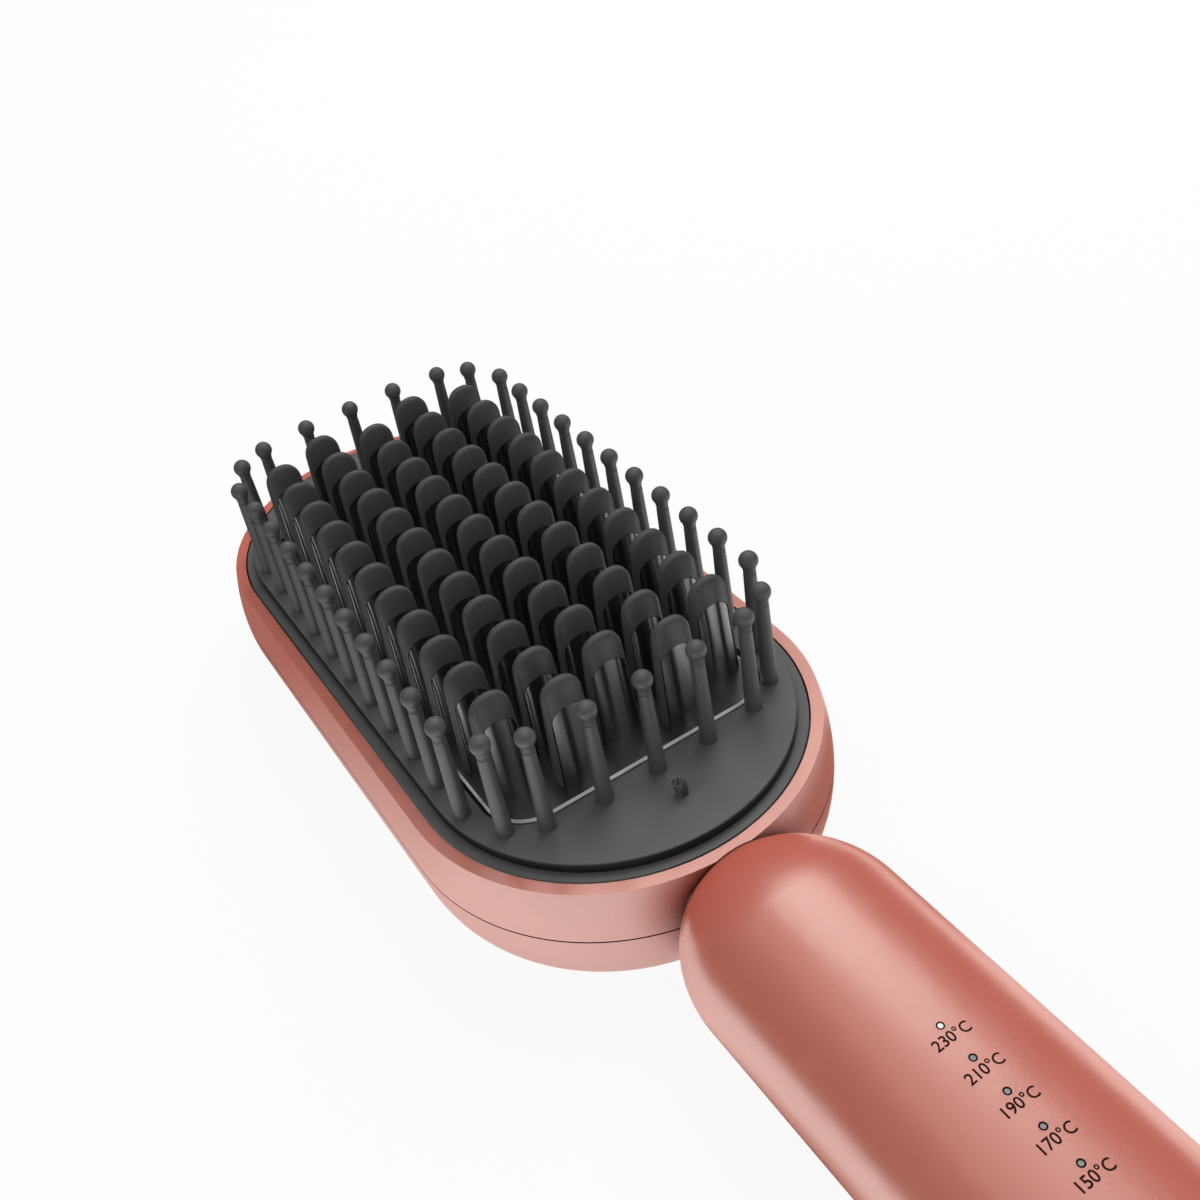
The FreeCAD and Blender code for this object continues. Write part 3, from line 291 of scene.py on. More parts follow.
def makeCoat(name, spec):
    mat, tree, shader = newMaterial(name)
    coords = objectCoords(tree, spec["stretch"])
    streak = noiseOn(tree, coords, drawn["streakScale"])
    coat = mixColour(tree, remap(tree, streak, 0, 1), spec["coat"], spec["streak"])
    unevenGloss(tree, shader, coords, drawn["glossScale"], spec["roughness"])
    bumpFrom(tree, shader, streak, drawn["scratch"], drawn["scratchDepth"])
    setSockets(shader, {"Metallic": 1.0})
    if "brushed" in spec:
        # mirrored light runs into upright streaks
        upright = addNode(tree, "ShaderNodeCombineXYZ", Z=1.0)
        tree.links.new(upright.outputs[0], shader.inputs["Tangent"])
        setSockets(shader, {"Anisotropic": spec["brushed"]})
    if "bevelHighlight" in spec:
        # slopes between two limits are the bevel: a painted highlight above a fine line, painted shade below it
        slope = slopeOf(tree)
        steepest, steep, flat, flattest = spec["bevelSlope"]
        bevel = calc(tree, "MULTIPLY", remap(tree, slope, 0, 1, steepest, steep),
                     remap(tree, slope, 1, 0, flat, flattest))
        line = plateTop - spec["bevelHeight"] * mm
        upper = remap(tree, axisOf(tree, objectCoords(tree), "Z"), 0, 1, line - spec["lineBlur"] * mm, line)
        coat = mixColour(tree, bevel, coat, mixColour(tree, upper, spec["shade"], spec["bevelHighlight"]))
        bevelHighlight = calc(tree, "MULTIPLY", bevel, upper)
        tree.links.new(remap(tree, bevelHighlight, 1, spec["highlightMetallic"], 0, 1), shader.inputs["Metallic"])
    tree.links.new(coat, shader.inputs["Base Color"])
    return mat


# Every other finish, by its values
finishes = {
    "greyMoulding": dict(colour=(0.084, 0.084, 0.084), mottle=dict(scale=90, colour=(0.094, 0.094, 0.094)),
                         gloss=dict(scale=260, roughness=(0.42, 0.50)),
                         grain=dict(scale=6200, strength=0.3, depth=0.010), sockets={"IOR": 1.85}),
    "plateMoulding": dict(colour=(0.108, 0.108, 0.108), mottle=dict(scale=90, colour=(0.118, 0.118, 0.118)),
                          gloss=dict(scale=260, roughness=(0.42, 0.50)),
                          grain=dict(scale=6200, strength=0.3, depth=0.010),
                          # painted shade on the steep walls and in the folds
                          wall=dict(slope=(0.35, 0.75), colour=(0.012, 0.012, 0.012)),
                          foldShade=dict(reach=2.5, closed=0.1, opened=0.62)),
    "capRubber": dict(colour=(0.076, 0.076, 0.076), mottle=dict(scale=140, colour=(0.085, 0.085, 0.085)),
                      gloss=dict(scale=400, roughness=(0.34, 0.42)),
                      grain=dict(scale=7000, strength=0.25, depth=0.008), sockets={"IOR": 1.55}),
    "blackSilicone": dict(colour=(0.004, 0.004, 0.004), mottle=dict(scale=200, colour=(0.007, 0.007, 0.007)),
                          gloss=dict(scale=300, roughness=(0.55, 0.7)),
                          grain=dict(scale=4000, strength=0.3, depth=0.01)),
    "amberFilm": dict(colour=(0.50, 0.26, 0.05), mottle=dict(scale=120, colour=(0.60, 0.34, 0.08)),
                      gloss=dict(scale=200, roughness=(0.18, 0.3)),
                      grain=dict(scale=900, strength=0.2, depth=0.01), sockets={"Coat Weight": 0.3}),
    "brassSheet": dict(colour=(0.70, 0.50, 0.22), mottle=dict(scale=150, colour=(0.62, 0.42, 0.17)),
                       gloss=dict(scale=500, roughness=(0.25, 0.42)),
                       grain=dict(scale=2400, strength=0.25, depth=0.006), sockets={"Metallic": 1.0},
                       stretch=(1, 0.1, 1)),
    "greyCeramic": dict(colour=(0.28, 0.28, 0.27), mottle=dict(scale=700, colour=(0.34, 0.34, 0.33)),
                        gloss=dict(scale=600, roughness=(0.6, 0.8)),
                        grain=dict(scale=5000, strength=0.4, depth=0.015)),
    "zincSteel": dict(colour=(0.56, 0.56, 0.57), mottle=dict(scale=300, colour=(0.48, 0.49, 0.51)),
                      gloss=dict(scale=600, roughness=(0.22, 0.38)),
                      grain=dict(scale=4200, strength=0.25, depth=0.005), sockets={"Metallic": 1.0}),
    "blackPlastic": dict(colour=(0.020, 0.020, 0.020), mottle=dict(scale=120, colour=(0.028, 0.028, 0.028)),
                         gloss=dict(scale=300, roughness=(0.45, 0.6)),
                         grain=dict(scale=5200, strength=0.35, depth=0.012)),
    "beadGlass": dict(colour=(0.42, 0.22, 0.09), mottle=dict(scale=300, colour=(0.55, 0.32, 0.15)),
                      gloss=dict(scale=300, roughness=(0.08, 0.16)),
                      grain=dict(scale=1500, strength=0.15, depth=0.01), sockets={"Coat Weight": 0.6}),
    "carbonFibre": dict(colour=(0.012, 0.012, 0.012), mottle=dict(scale=5200, colour=(0.26, 0.26, 0.26)),
                        gloss=dict(scale=1500, roughness=(0.35, 0.55)),
                        grain=dict(scale=9000, strength=0.2, depth=0.004), stretch=(1, 1, 0.1)),
    "leadSleeve": dict(colour=(0.72, 0.69, 0.64), mottle=dict(scale=160, colour=(0.64, 0.61, 0.56)),
                       gloss=dict(scale=300, roughness=(0.45, 0.6)),
                       grain=dict(scale=3000, strength=0.3, depth=0.012)),
    "whitePackage": dict(colour=(0.86, 0.86, 0.80), mottle=dict(scale=600, colour=(0.78, 0.77, 0.70)),
                         gloss=dict(scale=500, roughness=(0.3, 0.45)),
                         grain=dict(scale=5000, strength=0.2, depth=0.006)),
    "solderMask": dict(colour=(0.018, 0.11, 0.045), mottle=dict(scale=500, colour=(0.03, 0.17, 0.07)),
                       gloss=dict(scale=300, roughness=(0.25, 0.4)),
                       grain=dict(scale=1600, strength=0.35, depth=0.02), sockets={"Coat Weight": 0.2}),
    "keyPlastic": dict(colour=(0.040, 0.040, 0.042), mottle=dict(scale=120, colour=(0.050, 0.050, 0.052)),
                       gloss=dict(scale=260, roughness=(0.28, 0.36)),
                       grain=dict(scale=5200, strength=0.25, depth=0.006)),
    "yellowCase": dict(colour=(0.66, 0.45, 0.06), mottle=dict(scale=200, colour=(0.74, 0.53, 0.10)),
                       gloss=dict(scale=300, roughness=(0.3, 0.42)),
                       grain=dict(scale=3000, strength=0.25, depth=0.01)),
    "paleTerminal": dict(colour=(0.58, 0.58, 0.54), mottle=dict(scale=200, colour=(0.65, 0.65, 0.61)),
                         gloss=dict(scale=300, roughness=(0.4, 0.55)),
                         grain=dict(scale=4000, strength=0.3, depth=0.01)),
    "printInk": dict(colour=(0.022, 0.005, 0.006), mottle=dict(scale=2500, colour=(0.030, 0.007, 0.008)),
                     gloss=dict(scale=1500, roughness=(0.5, 0.62)),
                     grain=dict(scale=9000, strength=0.2, depth=0.003), sockets={"IOR": 1.2}),
    "ringInk": dict(colour=(0.004, 0.004, 0.004), mottle=dict(scale=2500, colour=(0.008, 0.008, 0.008)),
                    gloss=dict(scale=1500, roughness=(0.4, 0.5)),
                    grain=dict(scale=9000, strength=0.2, depth=0.003), sockets={"IOR": 1.2}),
    "keyPrint": dict(colour=(0.72, 0.72, 0.72), mottle=dict(scale=2500, colour=(0.66, 0.66, 0.66)),
                     gloss=dict(scale=1500, roughness=(0.4, 0.5)),
                     grain=dict(scale=9000, strength=0.2, depth=0.003)),
}
materials = {name: makeFinish(name, **values) for name, values in finishes.items()}
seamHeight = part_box("head_top_casing")[0][2] - coralPaint["seamGap"] * mm / 2
materials["coralPaint"] = makeCoral("coralPaint", coralPaint)
materials["coralShell"] = makeCoral("coralShell", coralPaint, seamHeight)
print("parting height:", round(seamHeight / mm, 2))
materials["plateCoat"] = makeCoat("plateCoat", plateCoat)
materials["bladeCoat"] = makeCoat("bladeCoat", bladeCoat)

# Light guide: milky rod, the first one lit
lightGuide = {
    "dim": (0.36, 0.36, 0.37), "core": (0.30, 0.30, 0.31), "cloudScale": 1800, "roughness": (0.12, 0.2),
    "ior": 1.49,
    "lit": (0.9, 0.9, 0.9), "glow": 0.3, "glowColour": (1, 1, 1, 1), "litBlur": 0.2, "pitch": 4.9,
}


def makeGuide(spec, litY):
    mat, tree, shader = newMaterial("lightGuide")
    coords = objectCoords(tree)
    blur = spec["litBlur"] * mm
    lit = remap(tree, axisOf(tree, coords, "Y"), 0, 1, litY - blur, litY + blur)
    cloud = noiseOn(tree, coords, spec["cloudScale"])
    dim = mixColour(tree, remap(tree, cloud, 0, 1), spec["dim"], spec["core"])
    tree.links.new(mixColour(tree, lit, dim, spec["lit"]), shader.inputs["Base Color"])
    tree.links.new(remap(tree, cloud, *spec["roughness"]), shader.inputs["Roughness"])
    tree.links.new(calc(tree, "MULTIPLY", lit, spec["glow"]), shader.inputs["Emission Strength"])
    setSockets(shader, {"Emission Color": spec["glowColour"], "IOR": spec["ior"]})
    return mat


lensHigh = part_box("indicator_lenses")[1]
lightPitch = lightGuide["pitch"] * mm
firstLight = lensHigh[1] - lensHigh[0]  # one lens collar radius in from the end of the row
materials["lightGuide"] = makeGuide(lightGuide, firstLight - lightPitch / 2)

nodeFinish = {
    "coralShell": ["head_top_casing", "head_back_casing", "handle_top_shell", "handle_bottom_shell"],
    "coralPaint": ["neck_frame"],
    "greyMoulding": ["edge_pins", "pin_tips", "swivel_bush", "swivel_gland"],
    "plateMoulding": ["bristle_plate", "ion_bush"],
    "capRubber": ["blade_caps"],
    "plateCoat": ["heater_plate"],
    "bladeCoat": ["heating_blades"],
    "blackSilicone": ["plate_gasket"],
    "amberFilm": ["heater_insulation"],
    "brassSheet": ["heater_electrodes"],
    "greyCeramic": ["ptc_heaters"],
    "zincSteel": ["heater_clamp", "clamp_screws", "plate_screws", "head_screws", "handle_screws", "board_screws",
                  "thermal_fuse", "swivel_clip"],
    "blackPlastic": ["heater_carrier", "ion_generator", "button_switches", "triac"],
    "beadGlass": ["thermistor"],
    "carbonFibre": ["ion_emitter"],
    "leadSleeve": ["ion_lead", "heater_leads", "sensor_leads"],
    "lightGuide": ["indicator_lenses"],
    "whitePackage": ["indicator_leds"],
    "solderMask": ["control_board", "power_board"],
    "keyPlastic": ["power_button", "temperature_up_button", "temperature_down_button"],
    "yellowCase": ["filter_capacitor"],
    "paleTerminal": ["cord_terminal_block"],
}
for finish, names in nodeFinish.items():
    for name in names:
        slots = nodes[name].data.materials
        slots.clear()
        slots.append(materials[finish])
for name in nodeFinish["coralShell"] + nodeFinish["coralPaint"]:
    nodes[name].visible_glossy = False  # keeps the coral out of the dark metal, as photographed
print("finishes:", len(materials), "on", sum(len(v) for v in nodeFinish.values()), "nodes")


# Mesh helpers
def quadGrid(rows, cols, closedCols=False):
    # corner numbers of every cell of a rows by cols grid, wrapping where closed
    i, j = np.meshgrid(np.arange(rows - 1), np.arange(cols if closedCols else cols - 1), indexing="ij")
    here, above = i * cols, (i + 1) * cols
    nextJ = (j + 1) % cols
    return np.stack([here + j, above + j, above + nextJ, here + nextJ], -1).reshape(-1, 4)


def repeatAt(points, faces, places):
    # the same points shifted to every place at once
    points = points.reshape(-1, 3)
    places = np.asarray(places, float)
    steps = np.arange(len(places))[:, None, None] * len(points)
    return (points[None] + places[:, None]).reshape(-1, 3), (faces[None] + steps).reshape(-1, faces.shape[1])


weldGap = 0.0005 * mm
leastEdge = 0.0002 * mm


def turnUp(work):
    for face in work.faces:
        if face.normal.z < 0:
            face.normal_flip()


def addPiece(name, points, faces, finish, body="brush", replaces=(), slot=None, sharp=40):
    mesh = bpy.data.meshes.new(name)
    mesh.from_pydata((np.asarray(points).reshape(-1, 3) * mm).tolist(), [], np.asarray(faces).tolist())
    work = bmesh.new()
    work.from_mesh(mesh)
    bmesh.ops.remove_doubles(work, verts=work.verts, dist=weldGap)
    bmesh.ops.dissolve_degenerate(work, edges=work.edges, dist=leastEdge)
    bmesh.ops.recalc_face_normals(work, faces=work.faces)
    work.to_mesh(mesh)
    work.free()
    mesh.shade_smooth()
    mesh.set_sharp_from_angle(angle=math.radians(sharp))
    mesh.materials.append(materials[finish])
    obj = bpy.data.objects.new(name, mesh)
    scene.collection.objects.link(obj)
    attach(obj, body)
    if replaces:
        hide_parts(*replaces)
    print(name, len(mesh.polygons), "faces")


def lathe(profile, steps):
    # profile radius and height carried round the z axis: x = r cos a, y = r sin a
    profile = np.asarray(profile, float)
    angle = np.linspace(0, 2 * math.pi, steps, endpoint=False)
    r, z = profile[:, :1], profile[:, 1:]
    points = np.stack([r * np.cos(angle), r * np.sin(angle), z + 0 * angle], -1)
    return points, quadGrid(len(profile), steps, closedCols=True)


# Cool pins round the edge of the plateau
pins = {
    "pitch": 7.5, "sideCount": 11, "sideX": 25.7,
    "corner": (22.65, 44.4),
    "endSteps": 2, "endSpacing": 8.76, "endY": 48.3, "endSag": 1.08,
    "base": 1.26, "neck": 0.97, "shank": 0.8, "foot": 1.05, "footHeight": 0.75, "plate": 1.8,
    "ballHeight": 16.80, "ball": 1.47, "collar": 0.94, "flare": 0.95, "cut": 2.15, "groove": 0.10,
    "ringUp": 0.24, "ringWidth": 0.10, "ringDepth": 0.06,
    "stud": 0.45, "studHeight": 1.0, "footGap": 0.05, "edgeBreak": 0.05,
    "sides": 28, "taperRings": 9, "flareRings": 21, "ballRings": 18,
}


def pinPlaces(spec):
    # two straight rows, four corner pins and two end rows that sag with the fourth power of x
    side = (np.arange(spec["sideCount"]) - (spec["sideCount"] - 1) / 2) * spec["pitch"]
    step = np.arange(-spec["endSteps"], spec["endSteps"] + 1)
    end = np.stack([step * spec["endSpacing"], spec["endY"] - spec["endSag"] * (step / spec["endSteps"]) ** 4], -1)
    rows = [np.stack([0 * side + x, side], -1) for x in (spec["sideX"], -spec["sideX"])]
    corners = [(sx * spec["corner"][0], sy * spec["corner"][1]) for sx in (-1, 1) for sy in (-1, 1)]
    flat = np.concatenate([*rows, end, end * (1, -1), corners])
    return np.column_stack([flat[:, 0], flat[:, 1] + headY / mm, np.zeros(len(flat))])


def buildPins(spec):
    top = plateauTop / mm
    centre = top + spec["ballHeight"]
    neckZ = centre - spec["cut"] - spec["groove"]
    footTop = top - spec["plate"] - spec["footGap"]
    footLow = footTop - spec["footHeight"]
    studTop = neckZ + spec["studHeight"]
    # straight taper from base to neck, with the edge below the groove broken
    share = np.linspace(0, 1, spec["taperRings"])
    taper = np.column_stack([spec["base"] + (spec["neck"] - spec["base"]) * share,
                             top + (neckZ - spec["edgeBreak"] - top) * share])
    profile = np.vstack([[0, footLow], [spec["foot"], footLow], [spec["foot"], footTop], [spec["shank"], footTop],
                         [spec["shank"], top], taper, [spec["neck"] - spec["edgeBreak"], neckZ],
                         [spec["stud"], neckZ], [spec["stud"], studTop], [0, studTop]])
    points, faces = lathe(profile, spec["sides"])
    places = pinPlaces(spec)
    addPiece("edgePins", *repeatAt(points, faces, places), "greyMoulding", replaces=["edge_pins"],
             slot="dark_plastic")
    # tip: collar that flares with the square of its height into a ball, one fine ring line near the foot
    start = math.asin(spec["flare"] / spec["ball"])
    flareR = spec["ball"] * math.cos(start)
    share = np.linspace(0, 1, spec["flareRings"], endpoint=False)
    tipLow = centre - spec["cut"]
    lowR = spec["collar"] + (flareR - spec["collar"]) * share ** 2
    lowZ = tipLow + (spec["cut"] - spec["flare"]) * share
    ring = np.exp(-((lowZ - (tipLow + spec["ringUp"])) / (spec["ringWidth"] / 2)) ** 2)
    lower = np.column_stack([lowR - spec["ringDepth"] * ring, lowZ])
    high = np.linspace(-start, math.pi / 2, spec["ballRings"])
    upper = np.column_stack([spec["ball"] * np.cos(high), centre + spec["ball"] * np.sin(high)])
    upper[-1, 0] = 0
    closing = [[0, tipLow], [lower[0, 0] - spec["edgeBreak"], tipLow]]
    points, faces = lathe(np.vstack([closing, lower, upper]), spec["sides"])
    addPiece("pinTips", *repeatAt(points, faces, places), "greyMoulding", replaces=["pin_tips"],
             slot="dark_plastic")


buildPins(pins)


# Heating blades and their matt caps, five staggered columns
blades = {
    "columnPitch": 8.96, "rowPitch": 7.54, "rows": (11, 12, 11, 12, 11),
    "baseWidth": 7.4, "topWidth": 6.0, "baseThickness": 4.25, "topThickness": 2.85, "height": 18.28,
    "crestThickness": 1.0, "bendFrom": 11.0, "crestDrop": 3.3, "crestPower": 2.05, "edgeRound": 0.40, "bulge": 2.2,
    "windowShare": 0.84, "shoulder": 11.6, "arch": 2.7, "inset": 0.12, "fit": 0.16, "lift": 0.005,
    "legStart": 0.004, "legSteps": 9, "archSteps": 23, "capSteps": 9, "faceColumns": 19, "faceRows": 7,
}


def bladePlaces(spec):
    rows = spec["rows"]
    column = np.repeat(np.arange(len(rows)) - (len(rows) - 1) / 2, rows) * spec["columnPitch"]
    along = np.concatenate([(np.arange(n) - (n - 1) / 2) * spec["rowPitch"] for n in rows])
    return np.column_stack([column, along + headY / mm, 0 * along])


def bladeHalf(spec, rise):
    # half width shrinks evenly with height; half thickness too, then bends in with the cube of the way to the crest
    share = rise / spec["height"]
    width = spec["baseWidth"] + (spec["topWidth"] - spec["baseWidth"]) * share
    bend = np.clip((rise - spec["bendFrom"]) / (spec["height"] - spec["bendFrom"]), 0, 1) ** 3
    thick = spec["baseThickness"] + (spec["topThickness"] - spec["baseThickness"]) * share
    return width / 2, (thick - (spec["topThickness"] - spec["crestThickness"]) * bend) / 2


def bladeFace(spec, x, rise, inset=0.0):
    # convex face: y = b (1 - |x / a| ^ n) ^ (1 / n), with a and b at that height
    a, b = bladeHalf(spec, rise)
    n = spec["bulge"]
    inside = np.clip(1 - np.abs(x / (a - inset)) ** n, 0, 1)
    return (b - inset) * inside ** (1 / n)


def windowOutline(spec, t, inset):
    # t runs 0..1 up one leg, 1..2 over the arch, 2..3 down the other leg
    base = spec["windowShare"] * bladeHalf(spec, 0.0)[0] - inset
    shoulder = spec["windowShare"] * bladeHalf(spec, spec["shoulder"])[0] - inset
    leg = np.clip(np.where(t < 1.5, t, 3 - t), 0, 1)
    turn = np.clip(t - 1, 0, 1) * math.pi
    x = np.where(np.abs(t - 1.5) <= 0.5, shoulder * np.cos(turn),
                 np.sign(1.5 - t) * (base + (shoulder - base) * leg))
    rise = spec["shoulder"] * leg + (spec["arch"] - inset) * np.sin(turn)
    return x, rise


def crestOutline(spec, t):
    # legs follow the blade's own side, then half a squared ellipse over the crest
    spring = spec["height"] - spec["crestDrop"]
    leg = np.clip(np.where(t < 1.5, t, 3 - t), 0, 1)
    turn = np.clip(t - 1, 0, 1) * math.pi
    power = 2 / spec["crestPower"]
    rise = spring * leg + spec["crestDrop"] * np.sin(turn) ** power
    side = bladeHalf(spec, rise)[0]
    over = bladeHalf(spec, spring)[0] * np.sign(np.cos(turn)) * np.abs(np.cos(turn)) ** power
    x = np.where(np.abs(t - 1.5) <= 0.5, over, np.sign(1.5 - t) * side)
    return np.clip(x, -side, side), rise


def buildBlades(spec):
    places = bladePlaces(spec)
    base = plateTop / mm
    # cap: a closed section carried along the horseshoe between the window and the crest
    leg = np.linspace(spec["legStart"], 1, spec["legSteps"])
    over = 1.5 - 0.5 * np.cos(np.linspace(0, math.pi, spec["archSteps"]))[1:-1]
    t = np.concatenate([leg, over, 3 - leg[::-1]])[:, None]
    out = np.sin(np.linspace(0, math.pi / 2, spec["capSteps"]))[None]
    innerX, innerRise = windowOutline(spec, t, 0.0)
    outerX, outerRise = crestOutline(spec, t)
    x, rise = innerX + (outerX - innerX) * out, innerRise + (outerRise - innerRise) * out
    width = np.hypot(outerX - innerX, outerRise - innerRise)
    y = bladeFace(spec, x, rise)
    radius = np.minimum(spec["edgeRound"], y)
    near = np.clip((1 - out) * width / np.maximum(radius, 1e-6), 0, 1)
    y = y - radius * (1 - np.sqrt(np.clip(1 - (1 - near) ** 2, 0, 1)))
    front = np.stack([x, -y, rise], -1)
    back = np.stack([x, y, rise], -1)[:, ::-1]
    inner = np.stack([x[:, :1], 0 * y[:, :1], rise[:, :1]], -1)
    section = np.concatenate([front, back, inner], axis=1) + (0, 0, base)
    ends = [section[i].mean(0)[None, None] + 0 * section[i][None] for i in (0, -1)]
    body = np.concatenate([ends[0], section, ends[1]])
    faces = quadGrid(body.shape[0], body.shape[1], closedCols=True)
    addPiece("bladeCaps", *repeatAt(body, faces, places), "capRubber", replaces=["blade_caps"],
             slot="dark_plastic", sharp=50)
    # blade: height lines cut off by the arch, both faces convex, closed along the arch and the foot
    u = np.sin(np.linspace(-math.pi / 2, math.pi / 2, spec["faceColumns"]))[None]
    v = np.linspace(0, 1, spec["faceRows"])[:, None]
    rise = v * (spec["shoulder"] + (spec["arch"] - spec["fit"]) * np.sqrt(np.clip(1 - u ** 2, 0, 1)))
    x = u * windowOutline(spec, np.clip(rise / spec["shoulder"], 0, 1), spec["fit"])[0]
    y = bladeFace(spec, x, rise, spec["inset"])
    front = np.stack([x, -y, rise], -1)
    back = np.stack([x, y, rise], -1)[:, ::-1]
    loop = np.concatenate([front, back], axis=1)
    flat = loop * (1, 0, 1)
    body = np.concatenate([flat[:1], loop, flat[-1:]]) + (0, 0, base + spec["lift"])
    faces = quadGrid(body.shape[0], body.shape[1], closedCols=True)
    addPiece("heatingBlades", *repeatAt(body, faces, places), "bladeCoat", replaces=["heating_blades"],
             slot="coated_metal", sharp=50)


buildBlades(blades)


# Carbon tuft of the ion emitter: short cut fibres that spread and lean a little
tuft = {
    "count": 230, "foot": 0.84, "tip": 1.12, "rise": 2.25, "ragged": 0.2, "thick": 0.085, "lean": (-0.26, 0.14),
    "twist": 0.5, "twistSpread": 0.15, "edgeRoom": 0.06, "sunk": 0.6, "wave": 0.05, "bend": 1.2, "thinning": 0.3,
    "sides": 4, "rings": 6, "seed": 7,
}


def buildTuft(spec):
    rng = np.random.default_rng(spec["seed"])
    centre = middleOf("ion_emitter") / mm
    n = spec["count"]
    angle, far = rng.uniform(0, 2 * math.pi, n), np.sqrt(rng.uniform(0, 1, n))
    footReach, tipReach = (far * (spec[key] - spec["edgeRoom"]) for key in ("foot", "tip"))
    foot = np.column_stack([np.cos(angle), np.sin(angle)]) * footReach[:, None]
    turn = angle + spec["twist"] + rng.normal(0, spec["twistSpread"], n)
    tip = np.column_stack([np.cos(turn), np.sin(turn)]) * tipReach[:, None] + spec["lean"]
    topZ = plateauTop / mm + spec["rise"] - rng.uniform(0, spec["ragged"], n)
    footZ = plateauTop / mm - spec["sunk"]
    # each fibre follows foot + (tip - foot) s ^ bend with a small sideways wave
    s = np.linspace(0, 1, spec["rings"])
    wave = rng.normal(0, spec["wave"], (n, 2))[:, None] * np.sin(math.pi * s)[None, :, None]
    flat = foot[:, None] + (tip - foot)[:, None] * (s ** spec["bend"])[None, :, None] + wave
    z = footZ + (topZ - footZ)[:, None] * s[None]
    ring = np.linspace(0, 2 * math.pi, spec["sides"], endpoint=False)
    girth = spec["thick"] * (1 - spec["thinning"] * s)[None, :, None]
    px = flat[..., :1] + girth * np.cos(ring)
    py = flat[..., 1:] + girth * np.sin(ring)
    points = np.stack([px + centre.x, py + centre.y, z[..., None] + 0 * px], -1)
    ends = [points[:, i].mean(1)[:, None, None] + 0 * points[:, :1] for i in (0, -1)]
    points = np.concatenate([ends[0], points, ends[1]], axis=1)
    faces = quadGrid(points.shape[1], points.shape[2], closedCols=True)
    per = points.shape[1] * points.shape[2]
    faces = (faces[None] + (np.arange(n) * per)[:, None, None]).reshape(-1, 4)
    addPiece("ionTuft", points, faces, "carbonFibre", replaces=["ion_emitter"], slot="carbon", sharp=60)


buildTuft(tuft)

# Face of the bush round the tuft, level with the plateau
bushFace = {"inner": 0.86, "outer": 1.58, "depth": 0.12, "proud": 0.006, "sides": 48}


def buildBushFace(spec):
    # flat ring: a square section carried round the tuft
    top = plateauTop / mm + spec["proud"]
    low = top - spec["depth"]
    section = [(spec["inner"], low), (spec["outer"], low), (spec["outer"], top), (spec["inner"], top),
               (spec["inner"], low)]
    points, faces = lathe(section, spec["sides"])
    centre = middleOf("ion_emitter") / mm
    addPiece("bushFace", *repeatAt(points, faces, [(centre.x, centre.y, 0)]), "plateMoulding", slot="dark_plastic")


buildBushFace(bushFace)


# Layer of print on the handle and the keys
printLayer = {"proud": 0.012, "thick": 0.01}

# Print on the handle: black ring round each window inside a coral seat, temperature figure beside it
labels = {
    "words": ("230°C", "210°C", "190°C", "170°C", "150°C"),
    "size": 1.95, "bold": 0.02, "curveSteps": 4, "behind": 0.72, "aside": 0.10,
    "ringIn": 0.32, "ringOut": 0.51, "seatOut": 0.74, "ringSteps": 40,
}


def handleSkin(x):
    # top of the elliptical handle: z = axis + half height sqrt(1 - (x / half width) ^ 2)
    half = handleHalfWidth / mm
    return handleAxis / mm * (1 + np.sqrt(np.clip(1 - (x / half) ** 2, 0, 1)))


def textMesh(words, spec):
    curve = bpy.data.curves.new("words", "FONT")
    curve.body = words
    curve.size = spec["size"]
    curve.align_x = "CENTER"
    curve.align_y = "TOP"
    curve.resolution_u = spec["curveSteps"]
    curve.offset = spec["bold"]
    holder = bpy.data.objects.new("words", curve)
    mesh = bpy.data.meshes.new_from_object(holder)
    bpy.data.objects.remove(holder)
    bpy.data.curves.remove(curve)
    return mesh


def meshArrays(mesh):
    points = np.empty(len(mesh.vertices) * 3)
    mesh.vertices.foreach_get("co", points)
    return points.reshape(-1, 3), [list(p.vertices) for p in mesh.polygons]


def addPrint(name, points, faces, finish, skin, body):
    # flat outline laid on the skin, then given a hair of thickness
    points = np.asarray(points, float).copy()
    points[:, 2] = skin(points[:, 0], points[:, 1]) + printLayer["proud"]
    mesh = bpy.data.meshes.new(name)
    mesh.from_pydata((points * mm).tolist(), [], faces)
    work = bmesh.new()
    work.from_mesh(mesh)
    bmesh.ops.remove_doubles(work, verts=work.verts, dist=weldGap)
    bmesh.ops.triangulate(work, faces=work.faces)
    turnUp(work)
    work.to_mesh(mesh)
    work.free()
    mesh.materials.append(materials[finish])
    obj = bpy.data.objects.new(name, mesh)
    scene.collection.objects.link(obj)
    wall = obj.modifiers.new("thickness", "SOLIDIFY")
    wall.thickness = printLayer["thick"] * mm
    wall.offset = -1
    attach(obj, body)


def arcBand(inner, outer, sweep):
    # flat band between two radii along a sweep of angles
    radius = np.array([inner, outer])[:, None]
    return np.stack([radius * np.cos(sweep), radius * np.sin(sweep), 0 * radius * sweep], -1).reshape(-1, 3)


